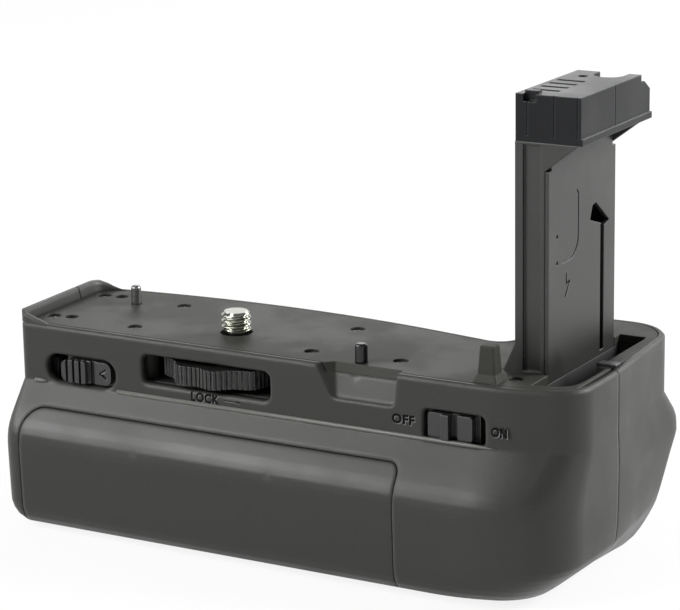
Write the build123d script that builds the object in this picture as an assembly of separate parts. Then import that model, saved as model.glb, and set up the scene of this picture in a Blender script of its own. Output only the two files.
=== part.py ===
from build123d import *
import os
from collections import namedtuple
from math import cos, pi, radians, sin, tan

# Camera battery grip, in millimetres. The origin is the camera screw's axis at the deck's top face.
# +X runs along the grip to the tower end, +Y to the lens side and +Z up into the camera.

# Housing outline at the deck
NECK_LEFT = 47.0
NECK_LEFT_LENS = 47.6
NECK_REAR = 13.4
NECK_RIGHT = 84.8
LEFT_REAR_RADIUS = 2.0
LEFT_LENS_RADIUS = 7.0
LEFT_LENS_Y = 20.0
BEND_X = 69.5
BEND_RADIUS = 40.0
RIGHT_CORNER_X = 84.2
RIGHT_CORNER_Y = 9.2
RIGHT_CORNER_RADIUS = 8.0
RIGHT_SIDE_Y = 6.0
RIGHT_SIDE_RADIUS = 120.0
LOBE_RIGHT = 81.6
LOBE_LEFT = 59.3
LOBE_REACH = 45.3
LOBE_RADIUS = 11.0
WAIST_X = 54.6
WAIST_Y = 17.6
WAIST_RADIUS = 4.0
CROWN_X = 3.0
CROWN_Y = 26.4
CROWN_RADIUS = 250.0

# Housing below the neck
NECK_HEIGHT = 12.8
BODY_HEIGHT = 44.6
REAR_FLARE = 7.3
LEFT_FLARE = 1.0
RIGHT_BEVEL = 10.6
LOBE_FLARE = 3.5
LOWER_WAIST_Y = 34.8
LOWER_CROWN_Y = 36.4
LOWER_LEFT_LENS_Y = 34.6
LOWER_CORNER_GAIN = 4.0
LOBE_SIDE_SHARE = 0.6
LOBE_TAPER_ROUND = 1.3
# depth below the ridge, then rear, left, right, lens and lobe growth at that depth, as shares
BODY_LEVEL_SHARES = (
    (0.00, 0.00, 0.00, 0.00, 0.00, 0.00),
    (0.09, 0.30, 0.30, 0.00, 0.30, 0.50),
    (0.18, 0.60, 0.60, 0.00, 0.60, 0.92),
    (0.27, 0.86, 0.86, 0.00, 0.86, 0.98),
    (0.34, 0.97, 0.97, 0.00, 0.97, 0.78),
    (0.41, 1.00, 1.00, 0.00, 1.00, 0.55),
    (0.58, 0.98, 0.95, 0.00, 0.99, 0.02),
    (0.72, 0.96, 0.90, -0.03, 0.98, -0.48),
    (0.82, 0.94, 0.80, -0.28, 0.97, -0.86),
    (0.90, 0.84, -0.10, -0.56, 0.93, -1.20),
    (0.96, 0.62, -1.60, -0.80, 0.86, -1.55),
    (1.00, 0.10, -4.60, -1.00, 0.72, -2.00),
)

BODY_LEVELS = 22

# Walls and general clearances
WALL = 2.0
FLOOR = 2.0
SEAM_Y = 8.5
SEAM_GAP = 0.25
SEAM_LINE = 0.25
PART_GAP = 0.15
LOOSE_GAP = 0.3
OVERRUN = 5.0
LEAST_RADIUS = 0.6

# Left rim
RIM_WIDTH = 1.5
RIM_TOP_WIDTH = 0.9
RIM_REAR_HEIGHT = 2.5
RIM_LENS_HEIGHT = 2.7
RIM_RUN = 7.4
RIM_LENS_START = 16.8
RIM_LENS_END = 19.3

# Deck plate
DECK_THICKNESS = 2.0
DECK_LEDGE = 1.2
DECK_EDGE_BREAK = 0.25
NECK_EDGE_BREAK = 0.5
DECK_RIGHT_EDGE = 82.2
DECK_SCREW_HOLE_RADIUS = 1.65
DECK_SCREW_HEAD_RADIUS = 1.5
DECK_SCREW_SHANK_RADIUS = 0.8
DECK_SCREW_SINK = 0.45
DECK_SCREW_HEAD_HEIGHT = 0.8
DECK_SCREW_LENGTH = 7.0
DECK_SCREW_DRIVE_RADIUS = 0.55
DECK_SCREW_ROW_REAR = -5.9
DECK_SCREW_ROW_LENS = 13.5
DECK_SCREW_LEFT_X = -43.0
DECK_SCREW_INNER_X = 21.9
DECK_SCREW_SWITCH = (41.9, -4.2)
DECK_SCREW_TOWER = (68.6, -5.6)
PLAIN_HOLE_X = -38.9
PLAIN_HOLE_RADIUS = 1.5
PLAIN_HOLE_DEPTH = 1.2
PLAIN_HOLE_OFFSET = 0.9

# Locating pins
PIN_LEFT = (-32.4, 10.5)
PIN_LEFT_RADIUS = 1.1
PIN_LEFT_HEIGHT = 4.2
PIN_RIGHT = (35.1, -8.5)
PIN_RIGHT_RADIUS = 1.3
PIN_RIGHT_HEIGHT = 4.0
PIN_ROOT = 3.2
PIN_FIT = 0.02
PIN_TIP_ROUND = 0.6
PIN_HEAD = 0.8
PIN_BOSS_WALL = 0.9
PIN_SHANK_STEP = 0.25
PIN_UNDERCUT = 0.2
PIN_SEAT_DEPTH = 0.6

# Square post on the deck
POST_X = 64.3
POST_Y = -8.6
POST_BASE_LENGTH = 4.2
POST_BASE_WIDTH = 3.6
POST_TOP_LENGTH = 3.1
POST_TOP_WIDTH = 2.9
POST_HEIGHT = 7.3
POST_FOOT_HEIGHT = 1.4
POST_FOOT_FLARE = 0.7
POST_CORNER = 0.4

# Camera screw, a quarter-inch thread
SCREW_RADIUS = 3.175
SCREW_REACH = 5.4
SCREW_TIP_BEVEL = 0.5
SCREW_RELIEF_RADIUS = 2.35
SCREW_RELIEF_TOP = 0.7
SCREW_HOLE_RADIUS = 3.45
SCREW_FLANGE_RADIUS = 5.2
SCREW_FLANGE_HEIGHT = 1.2
SCREW_FLANGE_GAP = 0.3
SCREW_DRIVE_FLATS = 7.0
SCREW_JOURNAL_RADIUS = 2.0
SCREW_JOURNAL_FIT = 0.05
RING_HEIGHT = 0.7
RING_RADIUS = 3.4
RING_GROOVE_DEPTH = 0.4
RING_OPENING = 3.0

# Lock wheel
WHEEL_RADIUS = 15.5
WHEEL_TOP = 4.5
WHEEL_HEIGHT = 4.0
WHEEL_LOBES = 11
WHEEL_LOBE_DEPTH = 1.2
WHEEL_RIBS_PER_LOBE = 8
WHEEL_RIB_DEPTH = 0.35
WHEEL_FIRST_CREST_DEGREES = 281.0
WHEEL_RIB_SHARES = ((0.0, True), (0.5, True), (0.62, False), (0.88, False))
WHEEL_RECESS = 0.8
WHEEL_HUB_RADIUS = 7.0

# Wheel bracket under the wheel
BRACKET_TOP = 9.9
BRACKET_THICKNESS = 1.3
BRACKET_HALF_LENGTH = 19.2
BRACKET_REAR = 10.4
BRACKET_LENS = 16.4
BRACKET_CORNER = 3.0
BRACKET_HUB_RADIUS = 4.5
BRACKET_BOSS_X = 17.4
BRACKET_BOSS_REAR = 7.6
BRACKET_BOSS_LENS = 12.4
BRACKET_BOSS_RADIUS = 2.2
BRACKET_SCREW_RADIUS = 0.9
BRACKET_SCREW_HEAD_RADIUS = 1.8
BRACKET_SCREW_HEAD = 1.1
BRACKET_SCREW_LENGTH = 5.0

# Slots in the rear of the neck
SLOT_LIP = 0.45
SLOT_LIP_DEPTH = 0.5
WHEEL_SLOT = (-15.6, 16.0, -9.8, -3.5)
WHEEL_SLOT_RADIUS = 1.6
RELEASE_SLOT = (-40.2, -22.4, -12.4, -6.2)
SWITCH_SLOT = (51.6, 65.5, -12.6, -6.3)
SWITCH_SLOT_RADIUS = 1.3

# Thumb notch at the deck's rear edge
NOTCH_LEFT = 26.7
NOTCH_RIGHT = 45.9
NOTCH_DEPTH = 3.0
NOTCH_TOP_BEVEL = 3.4
NOTCH_LOW_LEFT = 30.4
NOTCH_LOW_RIGHT = 45.2
NOTCH_LOW_DEPTH = 0.8
NOTCH_LOW_BEVEL = 1.0
NOTCH_HEIGHT = 6.9
NOTCH_WALL = 1.5
NOTCH_CORNER = 1.4
NOTCH_CORNER_SLOPE = 0.7

# Release slider and its latch
SLIDER_LEFT = -35.8
SLIDER_RIBS_RIGHT = -29.0
SLIDER_FLAT_LEFT = -27.9
SLIDER_RIGHT = -23.8
SLIDER_RIBS = 4
SLIDER_RIB_SHARE = 0.62
SLIDER_BOTTOM = -11.8
SLIDER_TOP = -6.9
SLIDER_STROKE = 3.8
SLIDER_FACE_SINK = 0.5
SLIDER_RIB_RISE = 1.1
SLIDER_STEP_SINK = 1.3
SLIDER_CORNER = 1.5
SLIDER_PLATE_THICKNESS = 1.2
SLIDER_PLATE_REACH = 2.0
SLIDER_ARROW_DEPTH = 0.3
SLIDER_ARROW_SIZE = 1.5
SLIDER_ARROW_LINE = 0.35
LATCH_WIDTH = 5.0
LATCH_THICKNESS = 1.4
LATCH_FOOT = -20.6
LATCH_HOOK = 2.0
LATCH_HOOK_HEIGHT = 1.4
CATCH_GAP = 0.35
SPRING_COILS = 6
SPRING_WIRE_RADIUS = 0.25
SPRING_WIRE_SIDES = 8
SPRING_END_GAP = 0.1
SPRING_RADIUS = 1.2
SPRING_SEAT_RADIUS = 0.6
SPRING_WALL = 1.6
SPRING_LENGTH = 7.6
SPRING_Z = -9.4

# Power switch
KNOB_LEFT = 52.7
KNOB_RIGHT = 62.6
KNOB_BOTTOM = -12.0
KNOB_TOP = -6.9
KNOB_STROKE = 1.9
KNOB_SINK = 0.3
KNOB_RISE = 0.9
KNOB_CORNER = 0.6
KNOB_RIB_SHARES = (0.33, 0.5)
KNOB_GROOVE_SHARES = (0.5, 0.67)
KNOB_GROOVE_DEPTH = 1.1
KNOB_PLATE_THICKNESS = 1.0
KNOB_PLATE_REACH = 1.0
KNOB_STEM = 1.4
SWITCH_BODY_LENGTH = 11.0
SWITCH_BODY_DEPTH = 5.0
SWITCH_BODY_HEIGHT = 5.6
SWITCH_BODY_GAP = 1.0
SWITCH_WINDOW = 2.6

# Chassis, the frame between the mechanism and the battery chamber
CHASSIS_TOP = 16.0
CHASSIS_THICKNESS = 1.4
CHASSIS_GAP = 0.3
CHASSIS_POST_RADIUS = 2.4
CHASSIS_COLUMN_RADIUS = 3.0
BOTTOM_SCREWS = ((-40.5, 1.5), (-40.5, 16.5), (64.5, -3.0), (64.5, 27.0))
BOTTOM_SCREW_RADIUS = 1.1
BOTTOM_SCREW_HEAD_RADIUS = 2.1
BOTTOM_SCREW_HEAD = 1.2
BOTTOM_SCREW_LENGTH = 8.0
BOTTOM_SCREW_SINK = 1.5
LATCH_WINDOW_MARGIN = 1.2

# Main board
BOARD_THICKNESS = 1.2
BOARD_LIFT = 1.6
BOARD_LEFT = 24.0
BOARD_RIGHT = 70.5
BOARD_REAR = 9.0
BOARD_LENS = 15.6
BOARD_STAND_RADIUS = 1.8
BOARD_STAND_INSET = 3.0
BOARD_NOTCH_RADIUS = 3.2

# Tower that enters the camera's battery bay
TOWER_LEFT = 65.8
TOWER_RIGHT = 73.1
TOWER_REAR = -0.4
TOWER_LENS = 31.4
TOWER_COVER = 0.9
TOWER_WALL = 1.3
TOWER_RIB_LEFT = 1.7
TOWER_RIB_RIGHT = 0.8
TOWER_PANEL_SINK = 0.7
TOWER_FOOT_FIN = 2.6
TOWER_FOOT_FIN_HEIGHT = 5.8
TOWER_FIN_THICKNESS = 1.4
TOWER_FINS = 3
TOWER_FIN_SEAT = 0.5
TOWER_FLANGE_REACH = 3.4
TOWER_FLANGE = 2.0
TOWER_WEB_DROP = 5.6
COVER_DROP = 1.9
COVER_RECESS = 0.5
COVER_GROOVE_WIDTH = 0.5
COVER_GROOVE_DEPTH = 0.35
COVER_HOOK_LINE_Y = 13.5
COVER_HOOK_TOP = 34.4
COVER_HOOK_TURN = 26.0
COVER_HOOK_RADIUS = 4.3
COVER_HOOK_TAIL = 3.4
COVER_HOOK_TIP = 0.8
COVER_DOT_Y = 3.6
COVER_DOTS_Z = (27.4, 22.0)
COVER_DOT_RADIUS = 0.45
COVER_SLOT_REAR = 24.2
COVER_SLOT_LENS = 26.0
COVER_SLOT_TOP = 25.8
COVER_CATCH_POINTS = ((19.1, 27.65), (20.3, 30.5), (22.0, 30.8), (28.6, 25.9), (26.5, 25.3))

# Tower head with the terminals
HEAD_LEFT = 65.9
HEAD_RIGHT = 80.0
HEAD_LENS = 32.7
HEAD_BOTTOM = 46.9
HEAD_TOP = 56.4
HEAD_WALL = 1.4
HEAD_LIP = 0.35
HEAD_LIP_HEIGHT = 1.3
HEAD_LENS_STEP_Y = 28.4
HEAD_LENS_STEP_Z = 54.9
HEAD_LENS_BEVEL_Y = 29.9
HEAD_LENS_BEVEL_Z = 53.0
HEAD_SCOOP_LEFT = 70.9
HEAD_SCOOP_RIGHT = 77.3
HEAD_SCOOP_REAR = 22.8
HEAD_SCOOP_DEPTH = 1.7
HEAD_PANEL_LINES = (68.4, 74.2, 79.2)
HEAD_LINE_WIDTH = 0.25
HEAD_LINE_DEPTH = 0.2
HEAD_SIDE_LINE_Y = 15.6
TERMINAL_FIRST_Y = 4.9
TERMINAL_PITCH = 3.85
TERMINAL_COUNT = 4
TERMINAL_SLOT_WIDTH = 1.3
TERMINAL_SLOT_LEFT = 67.0
TERMINAL_SLOT_LENGTH = 6.0
TERMINAL_BLADE_WIDTH = 0.9
TERMINAL_BLADE_THICKNESS = 0.5
TERMINAL_SINK = 0.7
HEAD_SCREW = (69.9, 22.2)
HEAD_SCREW_HOLE_RADIUS = 1.05
HEAD_SCREW_SINK = 1.0
HEAD_SCREW_LENGTH = 4.5
HEAD_SCREW_SHANK_RADIUS = 0.6
HEAD_NOTCH_LEFT = 67.5
HEAD_NOTCH_RIGHT = 70.3
HEAD_NOTCH_DEPTH = 1.5
HEAD_KEY_HEIGHT = 0.5

# Tower board inside the column
TOWER_BOARD_THICKNESS = 1.0
TOWER_BOARD_GAP = 0.9
TOWER_BOARD_MARGIN = 1.6
TOWER_SCREW_LENGTH = 4.4
TOWER_TONGUE_HALF = 1.5
TOWER_TONGUE_DROP = 6.0

# Storage pocket for the camera's battery door
POCKET_LEFT = 73.2
POCKET_RIGHT = 79.4
POCKET_WIDE_RIGHT = 81.6
POCKET_REAR = -9.0
POCKET_STEP = 9.6
POCKET_LENS = 34.3
POCKET_DEPTH = 14.0
POCKET_WALL = 0.8
CLIP_REAR = 10.4
CLIP_LENS = 12.6
CLIP_THICKNESS = 0.6
CLIP_SEAT = 0.3
CLIP_LEG = 5.0
CLIP_RIGHT = 83.0

# Battery tray, two flat bays
BATTERY_WIDTH = 33.0
BATTERY_LENGTH = 45.5
BATTERY_HEIGHT = 14.0
BATTERY_GAP = 0.4
TRAY_WALL = 1.4
TRAY_FLOOR = 1.4
TRAY_CENTRE_X = 2.6
TRAY_LIFT = 0.3
TRAY_SIDE_SHARE = 0.75
TRAY_FLANGE_TOP = -21.2
TRAY_RAIL_WIDTH = 1.2
TRAY_RAIL_HEIGHT = 3.0
TRAY_FINGER_RADIUS = 9.0
PANEL_LEFT = -43.0
PANEL_RIGHT = 48.2
PANEL_TOP = -17.4
PANEL_UNDER = -12.6
PANEL_WALL = 2.2
PANEL_GAP = 0.25
PANEL_LEFT_CORNER = 5.0
PANEL_RIGHT_CORNER = 2.0
PANEL_SCREW_RADIUS = 0.9
PANEL_SCREW_HEAD_RADIUS = 1.7
PANEL_SCREW_HEAD = 1.0
PANEL_SCREW_LENGTH = 3.6
PANEL_SCREW_Z = -24.0
CELL_SPRING_WIDTH = 8.0
CELL_SPRING_THICKNESS = 0.3
CELL_SPRING_LENGTH = 14.0

# Bay contacts
CONTACT_BLOCK_DEPTH = 1.4
CONTACT_BLOCK_HEIGHT = 9.0
CONTACT_BLOCK_LENGTH = 16.0
CONTACT_PINS_PER_BAY = 4
CONTACT_PIN_PITCH = 3.0
CONTACT_PIN_RADIUS = 0.5
CONTACT_PIN_REACH = 1.1

# Tripod socket
SOCKET_X = 55.0
SOCKET_Y = 6.0
SOCKET_DEPTH = 7.0
SOCKET_RADIUS = 5.0
SOCKET_FLANGE_RADIUS = 7.0
SOCKET_FLANGE = 1.2
SOCKET_BOSS_WALL = 1.6

# Shutter button on the hand side of the lobe
BUTTON_X = 72.5
BUTTON_Y = 45.3
BUTTON_Z = -31.0
BUTTON_TURN_DEGREES = 80.0
BUTTON_TILT_DEGREES = 19.0
BUTTON_RADIUS = 4.6
BUTTON_GAP = 0.2
BUTTON_STROKE = 0.8
BUTTON_RISE = 0.9
BUTTON_LENGTH = 4.2
BUTTON_SEAT = 3.0
BUTTON_COLLAR = 0.9
BUTTON_COLLAR_RADIUS = 5.6
BUTTON_TUBE_RADIUS = 5.9
BUTTON_TUBE_WALL = 1.2
BUTTON_TUBE_LENGTH = 9.0
BUTTON_SWITCH_BASE = 1.0
BUTTON_SWITCH_SIZE = 5.0
BUTTON_SWITCH_HEIGHT = 2.4

# Jack socket on the lens side
JACK_X = -38.0
JACK_Z = -31.0
JACK_RADIUS = 2.6
JACK_BORE = 1.25
JACK_LENGTH = 9.0
JACK_BODY_WIDTH = 6.6

Growth = namedtuple("Growth", "rear left right lens lobe")


def block(x0, x1, y0, y1, z0, z1):
    """Box between limits."""
    return Pos((x0 + x1) / 2, (y0 + y1) / 2, (z0 + z1) / 2) * Box(abs(x1 - x0), abs(y1 - y0), abs(z1 - z0))


def post(x, y, z0, z1, radius):
    """Upright cylinder between two heights."""
    return Pos(x, y, (z0 + z1) / 2) * Cylinder(radius, abs(z1 - z0))


def rod_y(x, z, y0, y1, radius):
    """Cylinder along Y."""
    return Pos(x, (y0 + y1) / 2, z) * Rot(90, 0, 0) * Cylinder(radius, abs(y1 - y0))


def prism(points, z0, z1):
    """Upright prism on a plan outline."""
    face = make_face(Polyline(*[(x, y) for x, y in points], close=True))
    return extrude(Pos(0, 0, z0) * face, z1 - z0)


def side_prism(points, x0, x1):
    """Prism along X on an outline of (y, z) points."""
    face = make_face(Polyline(*[(y, z) for y, z in points], close=True))
    return extrude(Plane(origin=(x0, 0, 0), x_dir=(0, 1, 0), z_dir=(1, 0, 0)) * face, x1 - x0)


def end_prism(points, y0, y1):
    """Prism along Y on an outline of (x, z) points."""
    face = make_face(Polyline(*[(x, -z) for x, z in points], close=True))
    return extrude(Plane(origin=(0, y0, 0), x_dir=(1, 0, 0), z_dir=(0, 1, 0)) * face, y1 - y0)


def slot_prism(limits, radius, y0, y1, grow=0):
    """Rounded slot along Y; limits are x0, x1, z0, z1."""
    x0, x1, z0, z1 = limits
    length = x1 - x0 + 2 * grow
    height = z1 - z0 + 2 * grow
    round_by = min(radius + grow, height / 2 - SEAM_LINE / 10)
    face = RectangleRounded(length, height, round_by)
    plane = Plane(origin=((x0 + x1) / 2, y0, (z0 + z1) / 2), x_dir=(1, 0, 0), z_dir=(0, 1, 0))
    return extrude(plane * face, y1 - y0)


def rounded_wire(corners, z):
    """Closed wire at one height, each corner (x, y, radius) rounded by its arc."""
    arcs = []
    for index, (x, y, radius) in enumerate(corners):
        here = Vector(x, y, z)
        before = Vector(corners[index - 1][0], corners[index - 1][1], z)
        after = Vector(corners[(index + 1) % len(corners)][0], corners[(index + 1) % len(corners)][1], z)
        back = (before - here).normalized()
        ahead = (after - here).normalized()
        half = radians(back.get_angle(ahead)) / 2
        inward = (back + ahead).normalized()
        middle = here + inward * (radius / sin(half) - radius)
        reach = radius / tan(half)
        arcs.append((here + back * reach, middle, here + ahead * reach))
    edges = []
    for index, (start, middle, end) in enumerate(arcs):
        edges.append(Edge.make_three_point_arc(start, middle, end))
        edges.append(Edge.make_line(end, arcs[(index + 1) % len(arcs)][0]))
    return Wire(edges)


def body_corners(grow, inset=0):
    """Plan corners of the housing for one level's growth, drawn in by the inset."""
    rear = -(NECK_REAR + grow.rear * REAR_FLARE - inset)
    left = grow.left * LEFT_FLARE - inset
    right = grow.right * RIGHT_BEVEL - inset
    lobe = grow.lobe * LOBE_FLARE
    lens = grow.lens
    gain = LOWER_CORNER_GAIN * grow.rear
    waist_y = WAIST_Y + (LOWER_WAIST_Y - WAIST_Y) * lens - inset
    crown_y = CROWN_Y + (LOWER_CROWN_Y - CROWN_Y) * lens - inset
    left_y = LEFT_LENS_Y + (LOWER_LEFT_LENS_Y - LEFT_LENS_Y) * lens - inset
    side = LOBE_SIDE_SHARE * lobe
    lobe_radius = LOBE_RADIUS + LOBE_TAPER_ROUND * min(grow.lobe, 0) - inset
    return [
        (-(NECK_LEFT + left), rear, max(LEFT_REAR_RADIUS + gain / 2 - inset, LEAST_RADIUS)),
        (BEND_X + right, rear, BEND_RADIUS - inset),
        (RIGHT_CORNER_X + right, rear + NECK_REAR - RIGHT_CORNER_Y, RIGHT_CORNER_RADIUS + gain - inset),
        (NECK_RIGHT + right, RIGHT_SIDE_Y, RIGHT_SIDE_RADIUS),
        (LOBE_RIGHT + side - inset, LOBE_REACH + lobe - inset, lobe_radius),
        (LOBE_LEFT + inset, LOBE_REACH + lobe - inset, lobe_radius),
        (WAIST_X + inset, waist_y, WAIST_RADIUS + inset),
        (CROWN_X, crown_y, CROWN_RADIUS),
        (-(NECK_LEFT_LENS + left), left_y, LEFT_LENS_RADIUS - inset),
    ]


def neck_face(inset, z=0):
    """Plan face of the neck, drawn in by the inset."""
    return Face(rounded_wire(body_corners(Growth(0, 0, 0, 0, 0), inset), z))


def level_slopes(depths, values):
    """Slope at each level of one share column, flat where the column turns."""
    steps = [(v1 - v0) / (d1 - d0) for d0, d1, v0, v1 in zip(depths, depths[1:], values, values[1:])]
    inner = [2 * a * b / (a + b) if a * b > 0 else 0 for a, b in zip(steps, steps[1:])]
    return [steps[0]] + inner + [steps[-1]]


def share_at(depth, depths, values, slopes):
    """Smooth value of one share column between its levels."""
    index = max(i for i in range(len(depths) - 1) if depths[i] <= depth)
    span = depths[index + 1] - depths[index]
    s = (depth - depths[index]) / span
    start = values[index] * (1 + 2 * s) * (1 - s) ** 2 + slopes[index] * span * s * (1 - s) ** 2
    end = values[index + 1] * s * s * (3 - 2 * s) + slopes[index + 1] * span * s * s * (s - 1)
    return start + end


def smooth_levels():
    """Depths from the ridge to the bottom, each with its growth."""
    columns = [list(column) for column in zip(*BODY_LEVEL_SHARES)]
    depths = columns[0]
    slopes = [level_slopes(depths, column) for column in columns[1:]]
    levels = []
    for step in range(BODY_LEVELS + 1):
        depth = step / BODY_LEVELS
        shares = [share_at(depth, depths, column, slope) for column, slope in zip(columns[1:], slopes)]
        levels.append((depth, Growth(*shares)))
    return levels


def flared_body(inset, floor):
    """Lower housing between the ridge and the bottom, a loft through closely spaced levels."""
    height = BODY_HEIGHT - NECK_HEIGHT - floor
    wires = [
        rounded_wire(body_corners(growth, inset), -NECK_HEIGHT - depth * height)
        for depth, growth in smooth_levels()
    ]
    return Solid.make_loft(wires, True)


def outer_body():
    """Whole outside of the housing without the rim."""
    neck = extrude(neck_face(0, -NECK_HEIGHT), NECK_HEIGHT)
    neck = chamfer(neck.faces().sort_by(Axis.Z)[-1].edges(), NECK_EDGE_BREAK)
    return neck + flared_body(0, 0)


def inner_body():
    """Space inside the housing, open at the deck."""
    neck = extrude(neck_face(WALL, -NECK_HEIGHT), NECK_HEIGHT + OVERRUN)
    ledge = extrude(neck_face(DECK_LEDGE, -DECK_THICKNESS), DECK_THICKNESS + OVERRUN)
    return neck + flared_body(WALL, FLOOR) + ledge


def left_rim():
    """Raised rim round the left end, sloping down to the deck on both sides."""
    band = extrude(neck_face(0), RIM_LENS_HEIGHT) - extrude(neck_face(RIM_WIDTH), RIM_LENS_HEIGHT)
    left = -NECK_LEFT_LENS
    side = [
        (left - OVERRUN, RIM_LENS_HEIGHT),
        (left, RIM_LENS_HEIGHT),
        (left + RIM_RUN, 0),
        (left + RIM_RUN, -OVERRUN),
        (left - OVERRUN, -OVERRUN),
    ]
    wedge = end_prism(side, -NECK_REAR - OVERRUN, LOWER_CROWN_Y)
    slope = [
        (-NECK_REAR - OVERRUN, -OVERRUN),
        (-NECK_REAR - OVERRUN, RIM_REAR_HEIGHT),
        (-NECK_REAR, RIM_REAR_HEIGHT),
        (RIM_LENS_START, RIM_LENS_HEIGHT),
        (RIM_LENS_END, 0),
        (RIM_LENS_END, -OVERRUN),
    ]
    cap = side_prism(slope, left - OVERRUN, left + RIM_RUN)
    rim = band & wedge & cap
    bevel = RIM_WIDTH - RIM_TOP_WIDTH
    inner = loft([neck_face(RIM_WIDTH), neck_face(RIM_WIDTH - bevel, RIM_LENS_HEIGHT)])
    return rim - inner


def slot_cut(limits, radius):
    """Slot through the rear wall of the neck with a bevelled mouth."""
    face = -NECK_REAR
    through = slot_prism(limits, radius, face - OVERRUN, face + WALL + OVERRUN)
    x0, x1, z0, z1 = limits
    outer = RectangleRounded(x1 - x0 + 2 * SLOT_LIP, z1 - z0 + 2 * SLOT_LIP, radius + SLOT_LIP)
    inner = RectangleRounded(x1 - x0, z1 - z0, radius)
    centre = ((x0 + x1) / 2, (z0 + z1) / 2)
    mouth = loft(
        [
            slot_plane(centre, face - SLOT_LIP_DEPTH / 10) * outer,
            slot_plane(centre, face + SLOT_LIP_DEPTH) * inner,
        ]
    )
    return through + mouth


def slot_plane(centre, y):
    """Plane across Y at a slot's centre."""
    return Plane(origin=(centre[0], y, centre[1]), x_dir=(1, 0, 0), z_dir=(0, 1, 0))


def release_radius():
    """Radius of the release slot's fully round ends."""
    return (RELEASE_SLOT[3] - RELEASE_SLOT[2]) / 2 - SEAM_LINE / 10


def notch_sections(shift, z_top):
    """Corners of the thumb notch at its top and its foot, moved outward by the shift."""
    face = -NECK_REAR
    top = [
        (NOTCH_LEFT - shift - OVERRUN, face - OVERRUN),
        (NOTCH_LEFT - shift, face),
        (NOTCH_LEFT + NOTCH_TOP_BEVEL - shift, face + NOTCH_DEPTH + shift),
        (NOTCH_RIGHT + shift, face + NOTCH_DEPTH + shift),
        (NOTCH_RIGHT + shift, face - OVERRUN),
    ]
    foot = [
        (NOTCH_LOW_LEFT - shift - OVERRUN, face - OVERRUN),
        (NOTCH_LOW_LEFT - shift, face),
        (NOTCH_LOW_LEFT + NOTCH_LOW_BEVEL - shift, face + NOTCH_LOW_DEPTH + shift),
        (NOTCH_LOW_RIGHT + shift, face + NOTCH_LOW_DEPTH + shift),
        (NOTCH_LOW_RIGHT + shift, face - OVERRUN),
    ]
    low = make_face(Polyline(*[(x, y) for x, y in foot], close=True))
    high = make_face(Polyline(*[(x, y) for x, y in top], close=True))
    return loft([Pos(0, 0, -NOTCH_HEIGHT - shift) * low, Pos(0, 0, z_top) * high], ruled=True)


def notch_cut():
    """Thumb notch: wide and deep at the deck, shallow at its foot."""
    cut = notch_sections(0, 0)
    foot = [e for e in cut.edges() if abs(e.center().Z + NOTCH_HEIGHT) < LEAST_RADIUS / 10]
    corners = [e for e in foot if abs((e % 0.5).Y) > NOTCH_CORNER_SLOPE]
    cut = fillet(corners, NOTCH_CORNER)
    low = [e for e in cut.edges() if abs(e.center().Z + NOTCH_HEIGHT) < NOTCH_LOW_DEPTH / 2]
    inner = [
        e for e in low if e.center().Y > -NECK_REAR + PART_GAP and abs((e % 0.5).Y) < NOTCH_CORNER_SLOPE / 2
    ]
    cut = fillet(inner, NOTCH_LOW_DEPTH / 2)
    above = notch_sections(0, 0).faces().sort_by(Axis.Z)[-1]
    return cut + extrude(above, OVERRUN, dir=(0, 0, 1))


def notch_backing():
    """Wall behind the thumb notch below the deck plate, hollowed for the right pin's boss."""
    reach = NECK_RIGHT
    wall = notch_sections(NOTCH_WALL, 0)
    wall -= block(-reach, reach, -reach, -NECK_REAR + WALL / 2, -reach, reach)
    wall -= block(-reach, reach, -reach, reach, -DECK_THICKNESS - PIN_FIT, reach)
    boss = PIN_RIGHT_RADIUS + PIN_BOSS_WALL + PART_GAP
    return wall - post(PIN_RIGHT[0], PIN_RIGHT[1], -PIN_ROOT - PIN_HEAD - PART_GAP, 0, boss)


def panel_region(grow):
    """Space that the tray panel takes, widened by the gap round it."""
    left = PANEL_LEFT - grow
    right = PANEL_RIGHT + grow
    top = PANEL_TOP + grow
    bottom = -BODY_HEIGHT - OVERRUN
    corners = [
        (left, -bottom, LEAST_RADIUS),
        (left, -top, PANEL_LEFT_CORNER + grow),
        (right, -top, PANEL_RIGHT_CORNER + grow),
        (right, -bottom, LEAST_RADIUS),
    ]
    face = Face(rounded_wire(corners, 0))
    rear = -NECK_REAR - REAR_FLARE - OVERRUN
    plane = Plane(origin=(0, rear, 0), x_dir=(1, 0, 0), z_dir=(0, 1, 0))
    return extrude(plane * face, PANEL_UNDER + grow - rear)


def bottom_screw_cut():
    """Holes and head recesses for the bottom screws."""
    cut = None
    for x, y in BOTTOM_SCREWS:
        hole = post(
            x, y, -BODY_HEIGHT - OVERRUN, -BODY_HEIGHT + FLOOR + OVERRUN, BOTTOM_SCREW_RADIUS + PART_GAP,
        )
        head = post(
            x, y, -BODY_HEIGHT - OVERRUN, -BODY_HEIGHT + BOTTOM_SCREW_SINK,
            BOTTOM_SCREW_HEAD_RADIUS + PART_GAP,
        )
        cut = hole + head if cut is None else cut + hole + head
    return cut


def bottom_screw_bosses():
    """Thick pads inside the bottom round the bottom screws."""
    pads = []
    for x, y in BOTTOM_SCREWS:
        top = -BODY_HEIGHT + BOTTOM_SCREW_SINK + BOTTOM_SCREW_HEAD + FLOOR
        pads.append(post(x, y, -BODY_HEIGHT + FLOOR / 2, top, CHASSIS_COLUMN_RADIUS))
    return pads


def socket_boss():
    """Boss inside the bottom that carries the tripod socket."""
    radius = SOCKET_RADIUS + SOCKET_BOSS_WALL
    return post(SOCKET_X, SOCKET_Y, -BODY_HEIGHT + FLOOR / 2, -BODY_HEIGHT + SOCKET_DEPTH, radius)


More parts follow.
